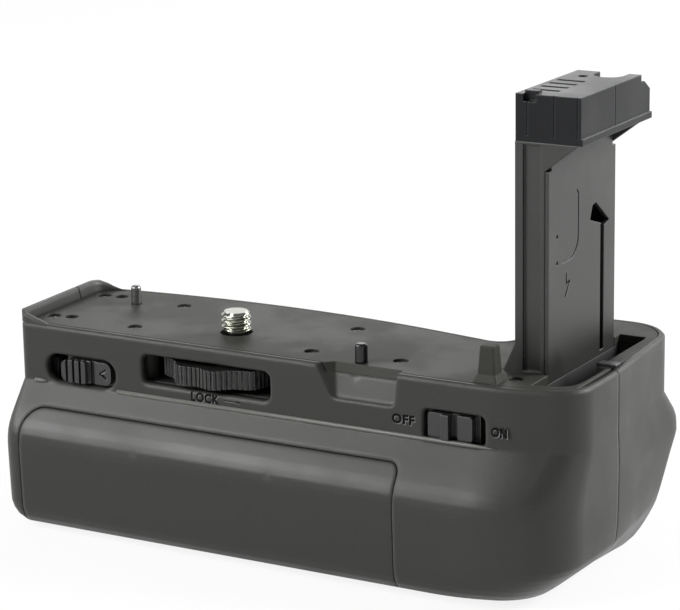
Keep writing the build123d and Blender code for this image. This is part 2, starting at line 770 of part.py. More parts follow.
def socket_cut():
    """Seat of the tripod socket in the bottom."""
    barrel = post(
        SOCKET_X, SOCKET_Y, -BODY_HEIGHT, -BODY_HEIGHT + SOCKET_DEPTH + OVERRUN, SOCKET_RADIUS + PIN_FIT,
    )
    flange = post(
        SOCKET_X, SOCKET_Y, -BODY_HEIGHT - OVERRUN, -BODY_HEIGHT + SOCKET_FLANGE + PIN_FIT,
        SOCKET_FLANGE_RADIUS + PART_GAP,
    )
    return barrel + flange


def tray_half_width():
    """Half the width of the tray over its outer walls."""
    return (2 * (BATTERY_WIDTH + BATTERY_GAP) + 3 * TRAY_WALL) / 2


def tray_rails():
    """Rails on the shell floor beside the tray."""
    rails = []
    for side in (-1, 1):
        inner = TRAY_CENTRE_X + side * (tray_half_width() + PART_GAP)
        outer = inner + side * TRAY_RAIL_WIDTH
        rails.append((min(inner, outer), max(inner, outer)))
    return rails


def button_plane(along=0):
    """Plane on the shutter button's axis, looking out of the housing."""
    turn = radians(BUTTON_TURN_DEGREES)
    tilt = radians(BUTTON_TILT_DEGREES)
    out = Vector(cos(turn) * cos(tilt), sin(turn) * cos(tilt), -sin(tilt))
    origin = Vector(BUTTON_X, BUTTON_Y, BUTTON_Z) + out * along
    return Plane(origin=origin, x_dir=(-sin(turn), cos(turn), 0), z_dir=out)


def disc_on(plane, radius, height):
    """Cylinder standing on a plane."""
    return extrude(plane * Circle(radius), height)


def seam_half(rear):
    """Half space on one side of the seam between the shells."""
    edge = SEAM_Y - SEAM_GAP / 2 if rear else SEAM_Y + SEAM_GAP / 2
    reach = NECK_RIGHT + NECK_LEFT
    y0, y1 = (-reach, edge) if rear else (edge, reach)
    return block(-reach, reach, y0, y1, -reach, reach)


def shell_body():
    """Both shells as one hollow housing with the rim, before the cuts."""
    return outer_body() - inner_body() + left_rim()


def rear_shell(housing):
    """Shell on the photographer's side."""
    shell = housing & seam_half(True)
    shell += notch_backing()
    shell -= notch_cut()
    shell -= slot_cut(WHEEL_SLOT, WHEEL_SLOT_RADIUS)
    shell -= slot_cut(RELEASE_SLOT, release_radius())
    shell -= slot_cut(SWITCH_SLOT, SWITCH_SLOT_RADIUS)
    shell -= panel_region(PANEL_GAP)
    for x0, x1 in tray_rails():
        y1 = SEAM_Y - SEAM_GAP / 2
        shell += block(
            x0, x1, PANEL_UNDER + 2 * PANEL_GAP, y1, -BODY_HEIGHT + FLOOR / 2,
            -BODY_HEIGHT + FLOOR + TRAY_RAIL_HEIGHT,
        )
    for pad in bottom_screw_bosses():
        if pad.center().Y < SEAM_Y:
            shell += pad & seam_half(True)
    shell += socket_boss() & seam_half(True)
    shell -= bottom_screw_cut()
    shell -= socket_cut()
    return shell


def front_shell(housing):
    """Shell on the lens side."""
    shell = housing & seam_half(False)
    for x0, x1 in tray_rails():
        y0 = SEAM_Y + SEAM_GAP / 2
        shell += block(
            x0, x1, y0, tray_lens_y(), -BODY_HEIGHT + FLOOR / 2, -BODY_HEIGHT + FLOOR + TRAY_RAIL_HEIGHT,
        )
    for pad in bottom_screw_bosses():
        if pad.center().Y > SEAM_Y:
            shell += pad
    shell += socket_boss() & seam_half(False)
    shell -= bottom_screw_cut()
    shell -= socket_cut()
    tube = disc_on(
        button_plane(-BUTTON_TUBE_LENGTH), BUTTON_TUBE_RADIUS + BUTTON_TUBE_WALL,
        BUTTON_TUBE_LENGTH + OVERRUN,
    )
    shell += tube & outer_body()
    bore = disc_on(button_plane(-BUTTON_TUBE_LENGTH), BUTTON_TUBE_RADIUS, BUTTON_TUBE_LENGTH - BUTTON_SEAT)
    shell -= bore + disc_on(button_plane(-BUTTON_LENGTH), BUTTON_RADIUS + BUTTON_GAP, BUTTON_LENGTH + OVERRUN)
    shell -= rod_y(JACK_X, JACK_Z, LEFT_LENS_Y, LOWER_CROWN_Y + OVERRUN, JACK_RADIUS + PIN_FIT)
    return shell


def deck_screw_places():
    """Places of the eight deck screws."""
    places = []
    for x in (DECK_SCREW_LEFT_X, -DECK_SCREW_INNER_X, DECK_SCREW_INNER_X):
        places.append((x, DECK_SCREW_ROW_REAR))
        places.append((x, DECK_SCREW_ROW_LENS))
    return places + [DECK_SCREW_SWITCH, DECK_SCREW_TOWER]


def pocket_plan(grow, z0, z1):
    """Prism on the door pocket's plan, widened by a wall and kept inside the neck."""
    points = [
        (POCKET_LEFT - grow, POCKET_REAR - grow),
        (POCKET_WIDE_RIGHT + grow, POCKET_REAR - grow),
        (POCKET_WIDE_RIGHT + grow, POCKET_STEP + grow),
        (POCKET_RIGHT + grow, POCKET_STEP + grow),
        (POCKET_RIGHT + grow, POCKET_LENS + grow),
        (POCKET_LEFT - grow, POCKET_LENS + grow),
    ]
    limit = extrude(neck_face(WALL + LOOSE_GAP + POCKET_WALL - grow, z0), z1 - z0)
    return prism(points, z0, z1) & limit


def square_post():
    """Tapered square post with a flared foot."""
    base = Pos(POST_X, POST_Y, 0) * RectangleRounded(POST_BASE_LENGTH, POST_BASE_WIDTH, POST_CORNER)
    top = Pos(POST_X, POST_Y, POST_HEIGHT) * RectangleRounded(POST_TOP_LENGTH, POST_TOP_WIDTH, POST_CORNER)
    shaft = loft([base, top], ruled=True)
    shaft = chamfer(shaft.faces().sort_by(Axis.Z)[-1].edges(), POST_CORNER / 2)
    wide = RectangleRounded(
        POST_BASE_LENGTH + 2 * POST_FOOT_FLARE, POST_BASE_WIDTH + 2 * POST_FOOT_FLARE, POST_CORNER,
    )
    foot = loft(
        [
            Pos(POST_X, POST_Y, 0) * wide,
            Pos(POST_X, POST_Y, POST_FOOT_HEIGHT) * RectangleRounded(
                POST_BASE_LENGTH, POST_BASE_WIDTH, POST_CORNER,
            ),
        ],
        ruled=True,
    )
    return shaft + foot


def deck_plate():
    """Top plate with its holes, the square post and the posts for the wheel bracket."""
    face = neck_face(DECK_LEDGE + PART_GAP, -DECK_THICKNESS)
    plate = extrude(face, DECK_THICKNESS)
    plate &= block(-NECK_RIGHT, DECK_RIGHT_EDGE, -NECK_RIGHT, NECK_RIGHT, -DECK_THICKNESS, 0)
    plate = chamfer(plate.faces().sort_by(Axis.Z)[-1].edges(), DECK_EDGE_BREAK)
    plate += square_post()
    for place, radius in ((PIN_LEFT, PIN_LEFT_RADIUS), (PIN_RIGHT, PIN_RIGHT_RADIUS)):
        plate += post(place[0], place[1], -PIN_ROOT - PIN_HEAD, -DECK_THICKNESS / 2, radius + PIN_BOSS_WALL)
    for x in (-BRACKET_BOSS_X, BRACKET_BOSS_X):
        for y in (-BRACKET_BOSS_REAR, BRACKET_BOSS_LENS):
            plate += post(x, y, -BRACKET_TOP, -DECK_THICKNESS / 2, BRACKET_BOSS_RADIUS)
            plate -= post(
                x, y, -BRACKET_TOP - OVERRUN, -BRACKET_TOP + BRACKET_SCREW_LENGTH,
                BRACKET_SCREW_RADIUS + PIN_FIT,
            )
    plate -= post(0, 0, -OVERRUN, OVERRUN, SCREW_HOLE_RADIUS)
    for x, y in deck_screw_places():
        plate -= post(x, y, -OVERRUN, OVERRUN, DECK_SCREW_SHANK_RADIUS + PART_GAP)
        plate -= post(x, y, -DECK_SCREW_SINK - DECK_SCREW_HEAD_HEIGHT, OVERRUN, DECK_SCREW_HOLE_RADIUS)
    for y in (DECK_SCREW_ROW_REAR + PLAIN_HOLE_OFFSET, DECK_SCREW_ROW_LENS + PLAIN_HOLE_OFFSET):
        plate -= post(PLAIN_HOLE_X, y, -PLAIN_HOLE_DEPTH, OVERRUN, PLAIN_HOLE_RADIUS)
    for (x, y), radius in ((PIN_LEFT, PIN_LEFT_RADIUS), (PIN_RIGHT, PIN_RIGHT_RADIUS)):
        plate -= post(x, y, -OVERRUN, OVERRUN, radius - PIN_SHANK_STEP + PIN_FIT)
        plate -= post(x, y, -PIN_SEAT_DEPTH, OVERRUN, radius + PIN_FIT)
    plate -= notch_cut()
    plate -= block(
        TOWER_LEFT - PART_GAP, POCKET_LEFT + PART_GAP, TOWER_REAR - PART_GAP, TOWER_LENS + PART_GAP, -OVERRUN,
        OVERRUN,
    )
    plate -= pocket_plan(0, -OVERRUN, OVERRUN)
    plate -= block(
        POCKET_RIGHT - PART_GAP, DECK_RIGHT_EDGE + PART_GAP, CLIP_REAR - PART_GAP, CLIP_LENS + PART_GAP,
        -CLIP_SEAT, OVERRUN,
    )
    for y0 in tower_fin_places():
        lens = y0 + TOWER_FIN_THICKNESS + PART_GAP
        tip = TOWER_LEFT - TOWER_FOOT_FIN - PART_GAP
        plate -= block(tip, TOWER_LEFT, y0 - PART_GAP, lens, -TOWER_FIN_SEAT - PART_GAP, OVERRUN)
    for y in tower_foot_screw_ys():
        plate -= post(tower_foot_screw_x(), y, -OVERRUN, -DECK_SCREW_SINK, DECK_SCREW_SHANK_RADIUS + PIN_FIT)
    return plate


def small_screw(head_radius, head_height, shank_radius, length, drive_radius):
    """Pan-head screw pointing down, its head's top at zero."""
    head = Pos(0, 0, -head_height / 2) * Cylinder(head_radius, head_height)
    head = fillet(head.faces().sort_by(Axis.Z)[-1].edges(), head_height / 3)
    shank = Pos(0, 0, -(head_height + length) / 2) * Cylinder(shank_radius, length - head_height)
    screw = head + shank
    for turn in (0, 90):
        screw -= Rot(0, 0, turn) * Box(2 * drive_radius, drive_radius / 2, head_height)
    return screw


def upside_down():
    """Turn that points a screw upward."""
    return Rot(180, 0, 0)


def deck_screws():
    """Eight screws that hold the deck plate to the chassis."""
    one = small_screw(
        DECK_SCREW_HEAD_RADIUS, DECK_SCREW_HEAD_HEIGHT, DECK_SCREW_SHANK_RADIUS, DECK_SCREW_LENGTH,
        DECK_SCREW_DRIVE_RADIUS,
    )
    return Compound(children=[Pos(x, y, -DECK_SCREW_SINK) * one for x, y in deck_screw_places()])


def locating_pin(place, radius, height):
    """Round pin with a domed tip on a thinner shank that is pressed into the deck."""
    pin = post(place[0], place[1], PIN_UNDERCUT, height, radius)
    pin = fillet(pin.faces().sort_by(Axis.Z)[-1].edges(), PIN_TIP_ROUND)
    return pin + post(place[0], place[1], -PIN_ROOT, PIN_UNDERCUT, radius - PIN_SHANK_STEP)


def camera_screw():
    """Captive camera screw: thread, relief, flange, square drive and lower journal."""
    thread = post(0, 0, SCREW_RELIEF_TOP, SCREW_REACH, SCREW_RADIUS)
    thread = chamfer(thread.faces().sort_by(Axis.Z)[-1].edges(), SCREW_TIP_BEVEL)
    flange_top = -DECK_THICKNESS - SCREW_FLANGE_GAP
    relief = post(0, 0, flange_top - SCREW_FLANGE_HEIGHT / 2, SCREW_RELIEF_TOP, SCREW_RELIEF_RADIUS)
    flange = post(0, 0, flange_top - SCREW_FLANGE_HEIGHT, flange_top, SCREW_FLANGE_RADIUS)
    drive_top = flange_top - SCREW_FLANGE_HEIGHT
    drive_bottom = -WHEEL_TOP - WHEEL_HEIGHT
    half = SCREW_DRIVE_FLATS / 2
    drive = block(-half, half, -half, half, drive_bottom, drive_top)
    journal_end = ring_top() - RING_HEIGHT - PART_GAP - SCREW_TIP_BEVEL
    journal = post(0, 0, journal_end, drive_bottom, SCREW_JOURNAL_RADIUS)
    screw = thread + relief + flange + drive + journal
    groove = post(0, 0, ring_top() - RING_HEIGHT, ring_top(), SCREW_JOURNAL_RADIUS + OVERRUN)
    groove -= post(0, 0, ring_top() - RING_HEIGHT, ring_top(), SCREW_JOURNAL_RADIUS - RING_GROOVE_DEPTH)
    return screw - groove


def ring_top():
    """Top of the retaining ring, just under the bracket."""
    return -BRACKET_TOP - BRACKET_THICKNESS - PART_GAP


def retaining_ring():
    """Open ring in the journal's groove."""
    ring = post(0, 0, ring_top() - RING_HEIGHT + PIN_FIT, ring_top() - PIN_FIT, RING_RADIUS)
    ring -= post(
        0, 0, ring_top() - OVERRUN, ring_top() + OVERRUN, SCREW_JOURNAL_RADIUS - RING_GROOVE_DEPTH + PIN_FIT,
    )
    half = RING_OPENING / 2
    return ring - block(0, RING_RADIUS + OVERRUN, -half, half, ring_top() - OVERRUN, ring_top() + OVERRUN)


def wheel_radius_at(degrees, rib_high):
    """Radius of the wheel's edge: smooth lobes, with a rib high or low on top."""
    swing = (1 + cos(radians((degrees - WHEEL_FIRST_CREST_DEGREES) * WHEEL_LOBES))) / 2
    radius = WHEEL_RADIUS - WHEEL_LOBE_DEPTH * (1 - swing)
    return radius if rib_high else radius - WHEEL_RIB_DEPTH


def lock_wheel():
    """Lobed and ribbed wheel round the camera screw."""
    ribs = WHEEL_LOBES * WHEEL_RIBS_PER_LOBE
    points = []
    for index in range(ribs):
        for share, high in WHEEL_RIB_SHARES:
            angle = (index + share) * 360 / ribs
            radius = wheel_radius_at(angle, high)
            points.append((radius * cos(radians(angle)), radius * sin(radians(angle))))
    wheel = prism(points, -WHEEL_TOP - WHEEL_HEIGHT, -WHEEL_TOP)
    inner = WHEEL_RADIUS - WHEEL_LOBE_DEPTH - 4 * WHEEL_RIB_DEPTH - WALL
    ring = post(0, 0, -WHEEL_TOP - WHEEL_RECESS, -WHEEL_TOP + OVERRUN, inner)
    wheel -= ring - post(0, 0, -WHEEL_TOP - OVERRUN, -WHEEL_TOP + OVERRUN, WHEEL_HUB_RADIUS)
    half = SCREW_DRIVE_FLATS / 2 + PIN_FIT
    return wheel - block(-half, half, -half, half, -WHEEL_TOP - WHEEL_HEIGHT - OVERRUN, OVERRUN)


def wheel_bracket():
    """Plate under the wheel that carries the screw's lower journal."""
    face = RectangleRounded(2 * BRACKET_HALF_LENGTH, BRACKET_LENS + BRACKET_REAR, BRACKET_CORNER)
    middle = (BRACKET_LENS - BRACKET_REAR) / 2
    plate = extrude(Pos(0, middle, -BRACKET_TOP - BRACKET_THICKNESS) * face, BRACKET_THICKNESS)
    hub_top = -WHEEL_TOP - WHEEL_HEIGHT - LOOSE_GAP
    plate += post(0, 0, -BRACKET_TOP - BRACKET_THICKNESS / 2, hub_top, BRACKET_HUB_RADIUS)
    plate -= post(0, 0, -BRACKET_TOP - OVERRUN, OVERRUN, SCREW_JOURNAL_RADIUS + SCREW_JOURNAL_FIT)
    for x in (-BRACKET_BOSS_X, BRACKET_BOSS_X):
        for y in (-BRACKET_BOSS_REAR, BRACKET_BOSS_LENS):
            plate -= post(x, y, -BRACKET_TOP - OVERRUN, 0, BRACKET_SCREW_RADIUS + PART_GAP)
    return plate


def bracket_screws():
    """Four screws from below into the deck's posts."""
    one = small_screw(
        BRACKET_SCREW_HEAD_RADIUS, BRACKET_SCREW_HEAD, BRACKET_SCREW_RADIUS, BRACKET_SCREW_LENGTH,
        DECK_SCREW_DRIVE_RADIUS,
    )
    z = -BRACKET_TOP - BRACKET_THICKNESS - BRACKET_SCREW_HEAD
    screws = []
    for x in (-BRACKET_BOSS_X, BRACKET_BOSS_X):
        for y in (-BRACKET_BOSS_REAR, BRACKET_BOSS_LENS):
            screws.append(Pos(x, y, z) * upside_down() * one)
    return Compound(children=screws)


def slider_plate_y():
    """Rear and lens faces of the release slider's plate inside the neck."""
    rear = -NECK_REAR + WALL + PART_GAP
    return rear, rear + SLIDER_PLATE_THICKNESS


def release_slider():
    """Release slider: ribbed block, step, flat with its arrow, and the plate inside the wall."""
    face = -NECK_REAR + SLIDER_FACE_SINK
    rear, lens = slider_plate_y()
    limits = (SLIDER_LEFT, SLIDER_RIGHT, SLIDER_BOTTOM, SLIDER_TOP)
    slider = slot_prism(limits, SLIDER_CORNER, face, rear + SLIDER_PLATE_THICKNESS / 2)
    pitch = (SLIDER_RIBS_RIGHT - SLIDER_LEFT) / SLIDER_RIBS
    grip = (SLIDER_LEFT, SLIDER_RIBS_RIGHT, SLIDER_BOTTOM, SLIDER_TOP)
    ribs = None
    for index in range(SLIDER_RIBS):
        x0 = SLIDER_LEFT + index * pitch
        rib = block(
            x0, x0 + pitch * SLIDER_RIB_SHARE, face - SLIDER_RIB_RISE, face, SLIDER_BOTTOM, SLIDER_TOP,
        )
        ribs = rib if ribs is None else ribs + rib
    slider += ribs & slot_prism(grip, SLIDER_CORNER, face - SLIDER_RIB_RISE, face)
    slider -= block(
        SLIDER_RIBS_RIGHT, SLIDER_FLAT_LEFT, face - OVERRUN, face + SLIDER_STEP_SINK - SLIDER_FACE_SINK,
        -NECK_HEIGHT, 0,
    )
    middle_x = (SLIDER_FLAT_LEFT + SLIDER_RIGHT) / 2
    middle_z = (SLIDER_BOTTOM + SLIDER_TOP) / 2
    half = SLIDER_ARROW_SIZE / 2
    arrow = [
        (middle_x - half, middle_z),
        (middle_x + half, middle_z + half),
        (middle_x + half, middle_z + half - SLIDER_ARROW_LINE),
        (middle_x - half + 2 * SLIDER_ARROW_LINE, middle_z),
        (middle_x + half, middle_z - half + SLIDER_ARROW_LINE),
        (middle_x + half, middle_z - half),
    ]
    slider -= end_prism(arrow, face - SLIDER_ARROW_DEPTH, face + SLIDER_ARROW_DEPTH)
    plate = block(
        SLIDER_LEFT, SLIDER_RIGHT + SLIDER_PLATE_REACH, rear, lens, SLIDER_BOTTOM - SLIDER_PLATE_REACH / 2,
        SLIDER_TOP + SLIDER_PLATE_REACH,
    )
    return slider + plate


def latch_x():
    """Left and right faces of the latch arm, and the middle of the plate that carries it."""
    middle = (SLIDER_LEFT + SLIDER_RIGHT) / 2
    return middle - LATCH_WIDTH / 2, middle + LATCH_WIDTH / 2


def release_latch():
    """Latch arm on the slider's plate, its hook over the tray panel's catch."""
    x0, x1 = latch_x()
    lens = slider_plate_y()[1]
    arm = block(x0, x1, lens, lens + LATCH_THICKNESS, LATCH_FOOT, SLIDER_TOP + SLIDER_PLATE_REACH)
    hook = [
        (lens + LATCH_THICKNESS, LATCH_FOOT),
        (lens + LATCH_THICKNESS, LATCH_FOOT + LATCH_HOOK_HEIGHT + LATCH_HOOK),
        (lens + LATCH_THICKNESS + LATCH_HOOK, LATCH_FOOT + LATCH_HOOK_HEIGHT),
        (lens + LATCH_THICKNESS + LATCH_HOOK, LATCH_FOOT),
    ]
    y = spring_y()
    stem = Pos(x0, y, SPRING_Z) * Rot(0, 90, 0) * Cylinder(SPRING_SEAT_RADIUS, 4 * SPRING_WIRE_RADIUS)
    lug = block(
        x0, x0 + SPRING_WALL, lens, y + SPRING_RADIUS, SPRING_Z - SPRING_RADIUS, SPRING_Z + SPRING_RADIUS,
    )
    return arm + side_prism(hook, x0, x1) + lug + stem


def spring_y():
    """Axis of the release spring, clear of the latch arm."""
    return slider_plate_y()[1] + LATCH_THICKNESS + SPRING_RADIUS / 2


def release_spring():
    """Compression spring between the latch and its seat on the chassis."""
    start = latch_x()[0] - SPRING_LENGTH + SPRING_END_GAP + SPRING_WIRE_RADIUS
    length = SPRING_LENGTH - 2 * SPRING_WIRE_RADIUS - 2 * SPRING_END_GAP
    pitch = length / SPRING_COILS
    path = Helix(pitch, length, SPRING_RADIUS - SPRING_WIRE_RADIUS)
    plane = Plane(origin=path @ 0, z_dir=path % 0)
    coil = sweep(plane * RegularPolygon(SPRING_WIRE_RADIUS, SPRING_WIRE_SIDES), path, is_frenet=True)
    return Pos(start, spring_y(), SPRING_Z) * Rot(0, 90, 0) * coil


def spring_bracket():
    """Upright on the chassis that backs the release spring."""
    x1 = latch_x()[0] - SPRING_LENGTH
    y = spring_y()
    foot = -CHASSIS_TOP - CHASSIS_THICKNESS / 2
    wall = block(x1 - SPRING_WALL, x1, y - SPRING_RADIUS, y + SPRING_RADIUS, foot, SPRING_Z + SPRING_RADIUS)
    stem = Pos(x1, y, SPRING_Z) * Rot(0, 90, 0) * Cylinder(SPRING_SEAT_RADIUS, 4 * SPRING_WIRE_RADIUS)
    return wall + stem


def power_switch_knob():
    """Power knob: two blocks with a rib and a groove between them, and its plate inside."""
    face = -NECK_REAR + KNOB_SINK
    rear = -NECK_REAR + WALL + PART_GAP
    limits = (KNOB_LEFT, KNOB_RIGHT, KNOB_BOTTOM, KNOB_TOP)
    knob = slot_prism(limits, KNOB_CORNER, face, rear + KNOB_PLATE_THICKNESS / 2)
    length = KNOB_RIGHT - KNOB_LEFT
    rib = [KNOB_LEFT + share * length for share in KNOB_RIB_SHARES]
    groove = [KNOB_LEFT + share * length for share in KNOB_GROOVE_SHARES]
    knob += block(rib[0], rib[1], face - KNOB_RISE, face, KNOB_BOTTOM, KNOB_TOP)
    knob -= block(groove[0], groove[1], face - OVERRUN, face + KNOB_GROOVE_DEPTH, -NECK_HEIGHT - OVERRUN, 0)
    plate = block(
        KNOB_LEFT - KNOB_PLATE_REACH, KNOB_RIGHT + KNOB_PLATE_REACH, rear, rear + KNOB_PLATE_THICKNESS,
        KNOB_BOTTOM - KNOB_PLATE_REACH / 2, KNOB_TOP + KNOB_PLATE_REACH,
    )
    middle = (KNOB_LEFT + KNOB_RIGHT) / 2
    centre_z = (KNOB_BOTTOM + KNOB_TOP) / 2
    half = KNOB_STEM / 2
    stem = block(
        middle - half, middle + half, rear, rear + KNOB_PLATE_THICKNESS + SWITCH_BODY_GAP + KNOB_STEM,
        centre_z - half, centre_z + half,
    )
    return knob + plate + stem


def board_top():
    """Top face of the main board."""
    return -CHASSIS_TOP + BOARD_LIFT + BOARD_THICKNESS


def power_switch_body():
    """Slide switch on the main board, its window round the knob's stem."""
    middle = (KNOB_LEFT + KNOB_RIGHT + KNOB_STROKE) / 2
    rear = -NECK_REAR + WALL + PART_GAP + KNOB_PLATE_THICKNESS + SWITCH_BODY_GAP
    half = SWITCH_BODY_LENGTH / 2
    body = block(
        middle - half, middle + half, rear, rear + SWITCH_BODY_DEPTH, board_top(),
        board_top() + SWITCH_BODY_HEIGHT,
    )
    centre_z = (KNOB_BOTTOM + KNOB_TOP) / 2
    reach = (KNOB_STEM + KNOB_STROKE) / 2 + LOOSE_GAP
    window = block(
        middle - reach, middle + reach, rear - OVERRUN, rear + SWITCH_WINDOW,
        centre_z - KNOB_STEM / 2 - LOOSE_GAP, centre_z + KNOB_STEM / 2 + LOOSE_GAP,
    )
    return body - window


def board_stands():
    """Places of the stands that carry the main board."""
    xs = (BOARD_LEFT + BOARD_STAND_INSET, BOARD_RIGHT - BOARD_STAND_INSET)
    ys = (-BOARD_REAR + 2 * BOARD_STAND_INSET, BOARD_LENS - BOARD_STAND_INSET)
    return [(x, y) for x in xs for y in ys]


def main_board():
    """Main circuit board in the neck, cut round the screw posts."""
    bottom = -CHASSIS_TOP + BOARD_LIFT
    board = block(BOARD_LEFT, BOARD_RIGHT, -BOARD_REAR, BOARD_LENS, bottom, bottom + BOARD_THICKNESS)
    for x, y in deck_screw_places():
        board -= post(x, y, -CHASSIS_TOP, 0, BOARD_NOTCH_RADIUS)
    return board


def chassis():
    """Frame under the deck: screw posts above, columns to the bottom, ceiling of the battery chamber."""
    face = neck_face(WALL + CHASSIS_GAP, -CHASSIS_TOP - CHASSIS_THICKNESS)
    frame = extrude(face, CHASSIS_THICKNESS)
    for x, y in deck_screw_places():
        frame += post(
            x, y, -CHASSIS_TOP - CHASSIS_THICKNESS / 2, -DECK_THICKNESS - PIN_FIT, CHASSIS_POST_RADIUS,
        )
        frame -= post(x, y, -CHASSIS_TOP, 0, DECK_SCREW_SHANK_RADIUS + PIN_FIT)
    frame &= extrude(face, CHASSIS_TOP + CHASSIS_THICKNESS)
    for x, y in BOTTOM_SCREWS:
        foot = -BODY_HEIGHT + BOTTOM_SCREW_SINK + BOTTOM_SCREW_HEAD + FLOOR + PIN_FIT
        frame += post(x, y, foot, -CHASSIS_TOP - CHASSIS_THICKNESS / 2, CHASSIS_COLUMN_RADIUS)
        frame -= post(x, y, foot - OVERRUN, foot + BOTTOM_SCREW_LENGTH, BOTTOM_SCREW_RADIUS + PIN_FIT)
    for x, y in board_stands():
        frame += post(
            x, y, -CHASSIS_TOP - CHASSIS_THICKNESS / 2, -CHASSIS_TOP + BOARD_LIFT - PIN_FIT,
            BOARD_STAND_RADIUS,
        )
    x0, x1 = latch_x()
    lens = slider_plate_y()[1]
    margin = LATCH_WINDOW_MARGIN
    frame -= block(
        x0 - SLIDER_STROKE - margin, x1 + margin, -NECK_REAR, lens + LATCH_THICKNESS + LATCH_HOOK + margin,
        -CHASSIS_TOP - OVERRUN, -CHASSIS_TOP + LATCH_THICKNESS / 10,
    )
    return frame + spring_bracket()


def bottom_screws():
    """Four screws through the bottom into the chassis columns."""
    one = small_screw(
        BOTTOM_SCREW_HEAD_RADIUS, BOTTOM_SCREW_HEAD, BOTTOM_SCREW_RADIUS, BOTTOM_SCREW_LENGTH,
        DECK_SCREW_DRIVE_RADIUS,
    )
    z = -BODY_HEIGHT + BOTTOM_SCREW_SINK - BOTTOM_SCREW_HEAD
    return Compound(children=[Pos(x, y, z) * upside_down() * one for x, y in BOTTOM_SCREWS])


def tower_foot_screw_x():
    """Line of the foot screws along the tower's flange."""
    return TOWER_LEFT - TOWER_FLANGE_REACH / 2


def tower_foot_screw_ys():
    """Places of the foot screws along the tower's flange."""
    return TOWER_REAR + TOWER_FLANGE_REACH, TOWER_LENS - TOWER_FLANGE_REACH


def tower_fin_places():
    """Rear faces of the fins at the tower's foot."""
    span = TOWER_LENS - TOWER_REAR - TOWER_FIN_THICKNESS
    return [TOWER_REAR + span * index / (TOWER_FINS - 1) for index in range(TOWER_FINS)]


def tower_column():
    """Column: open channel with ribs on its narrow face, fins at its foot and webs under the head."""
    right = TOWER_RIGHT - TOWER_COVER
    column = block(TOWER_LEFT, right, TOWER_REAR, TOWER_LENS, -DECK_THICKNESS - TOWER_FLANGE, HEAD_BOTTOM)
    column -= block(
        TOWER_LEFT + TOWER_WALL, right + OVERRUN, TOWER_REAR + TOWER_WALL, TOWER_LENS - TOWER_WALL,
        -DECK_THICKNESS - TOWER_FLANGE - OVERRUN, HEAD_BOTTOM + OVERRUN,
    )
    panel = (TOWER_LEFT + TOWER_RIB_LEFT, right - TOWER_RIB_RIGHT)
    column -= block(
        panel[0], panel[1], TOWER_REAR - OVERRUN, TOWER_REAR + TOWER_PANEL_SINK, DECK_EDGE_BREAK,
        HEAD_BOTTOM - COVER_RECESS,
    )
    tip = TOWER_LEFT - TOWER_FOOT_FIN
    fin = [
        (TOWER_LEFT, -TOWER_FIN_SEAT), (tip, -TOWER_FIN_SEAT), (tip, 0), (TOWER_LEFT, TOWER_FOOT_FIN_HEIGHT),
    ]
    for y0 in tower_fin_places():
        column += end_prism(fin, y0, y0 + TOWER_FIN_THICKNESS)
    web = [(right, HEAD_BOTTOM - TOWER_WEB_DROP), (HEAD_RIGHT - HEAD_LIP, HEAD_BOTTOM), (right, HEAD_BOTTOM)]
    column += end_prism(web, TOWER_REAR, TOWER_REAR + TOWER_WALL)
    column += end_prism(web, TOWER_LENS - TOWER_WALL, TOWER_LENS)
    flange_top = -DECK_THICKNESS - PIN_FIT
    flange = block(
        TOWER_LEFT - TOWER_FLANGE_REACH, TOWER_LEFT + TOWER_WALL, TOWER_REAR, TOWER_LENS,
        flange_top - TOWER_FLANGE, flange_top,
    )
    for y in tower_foot_screw_ys():
        flange -= post(
            tower_foot_screw_x(), y, flange_top - OVERRUN, OVERRUN, DECK_SCREW_SHANK_RADIUS + PIN_FIT,
        )
    x, y = HEAD_SCREW
    half = TOWER_TONGUE_HALF
    tongue = block(
        TOWER_LEFT + TOWER_WALL / 2, x + half, y - half, y + half, HEAD_BOTTOM - TOWER_TONGUE_DROP,
        head_ceiling() - PIN_FIT,
    )
    tongue &= block(TOWER_LEFT + TOWER_WALL / 2, x + half, y - half, y + half, 0, HEAD_BOTTOM) + block(
        HEAD_LEFT + HEAD_WALL + PART_GAP, x + half, y - half, y + half, HEAD_BOTTOM, HEAD_TOP
    )
    tongue -= post(x, y, HEAD_BOTTOM - TOWER_TONGUE_DROP / 2, HEAD_TOP, HEAD_SCREW_SHANK_RADIUS + PIN_FIT)
    return column + flange + tongue


def cover_hook_groove():
    """Curved groove in the tower cover, as a narrow line with a rounded turn."""
    y = COVER_HOOK_LINE_Y
    top = COVER_HOOK_TOP
    turn = COVER_HOOK_TURN
    radius = COVER_HOOK_RADIUS
    line = Line(
        (y - COVER_HOOK_TIP, top + COVER_HOOK_TIP), (y, top),
    ) + Line((y, top), (y, turn)) + ThreePointArc(
        (y, turn), (y - radius * (1 - cos(pi / 4)), turn - radius * sin(pi / 4)), (y - radius, turn - radius)
    ) + Line((y - radius, turn - radius), (y - radius - COVER_HOOK_TAIL, turn - radius))
    band = trace(line, COVER_GROOVE_WIDTH)
    plane = Plane(origin=(TOWER_RIGHT - COVER_GROOVE_DEPTH, 0, 0), x_dir=(0, 1, 0), z_dir=(1, 0, 0))
    return extrude(plane * band, COVER_GROOVE_DEPTH + OVERRUN)


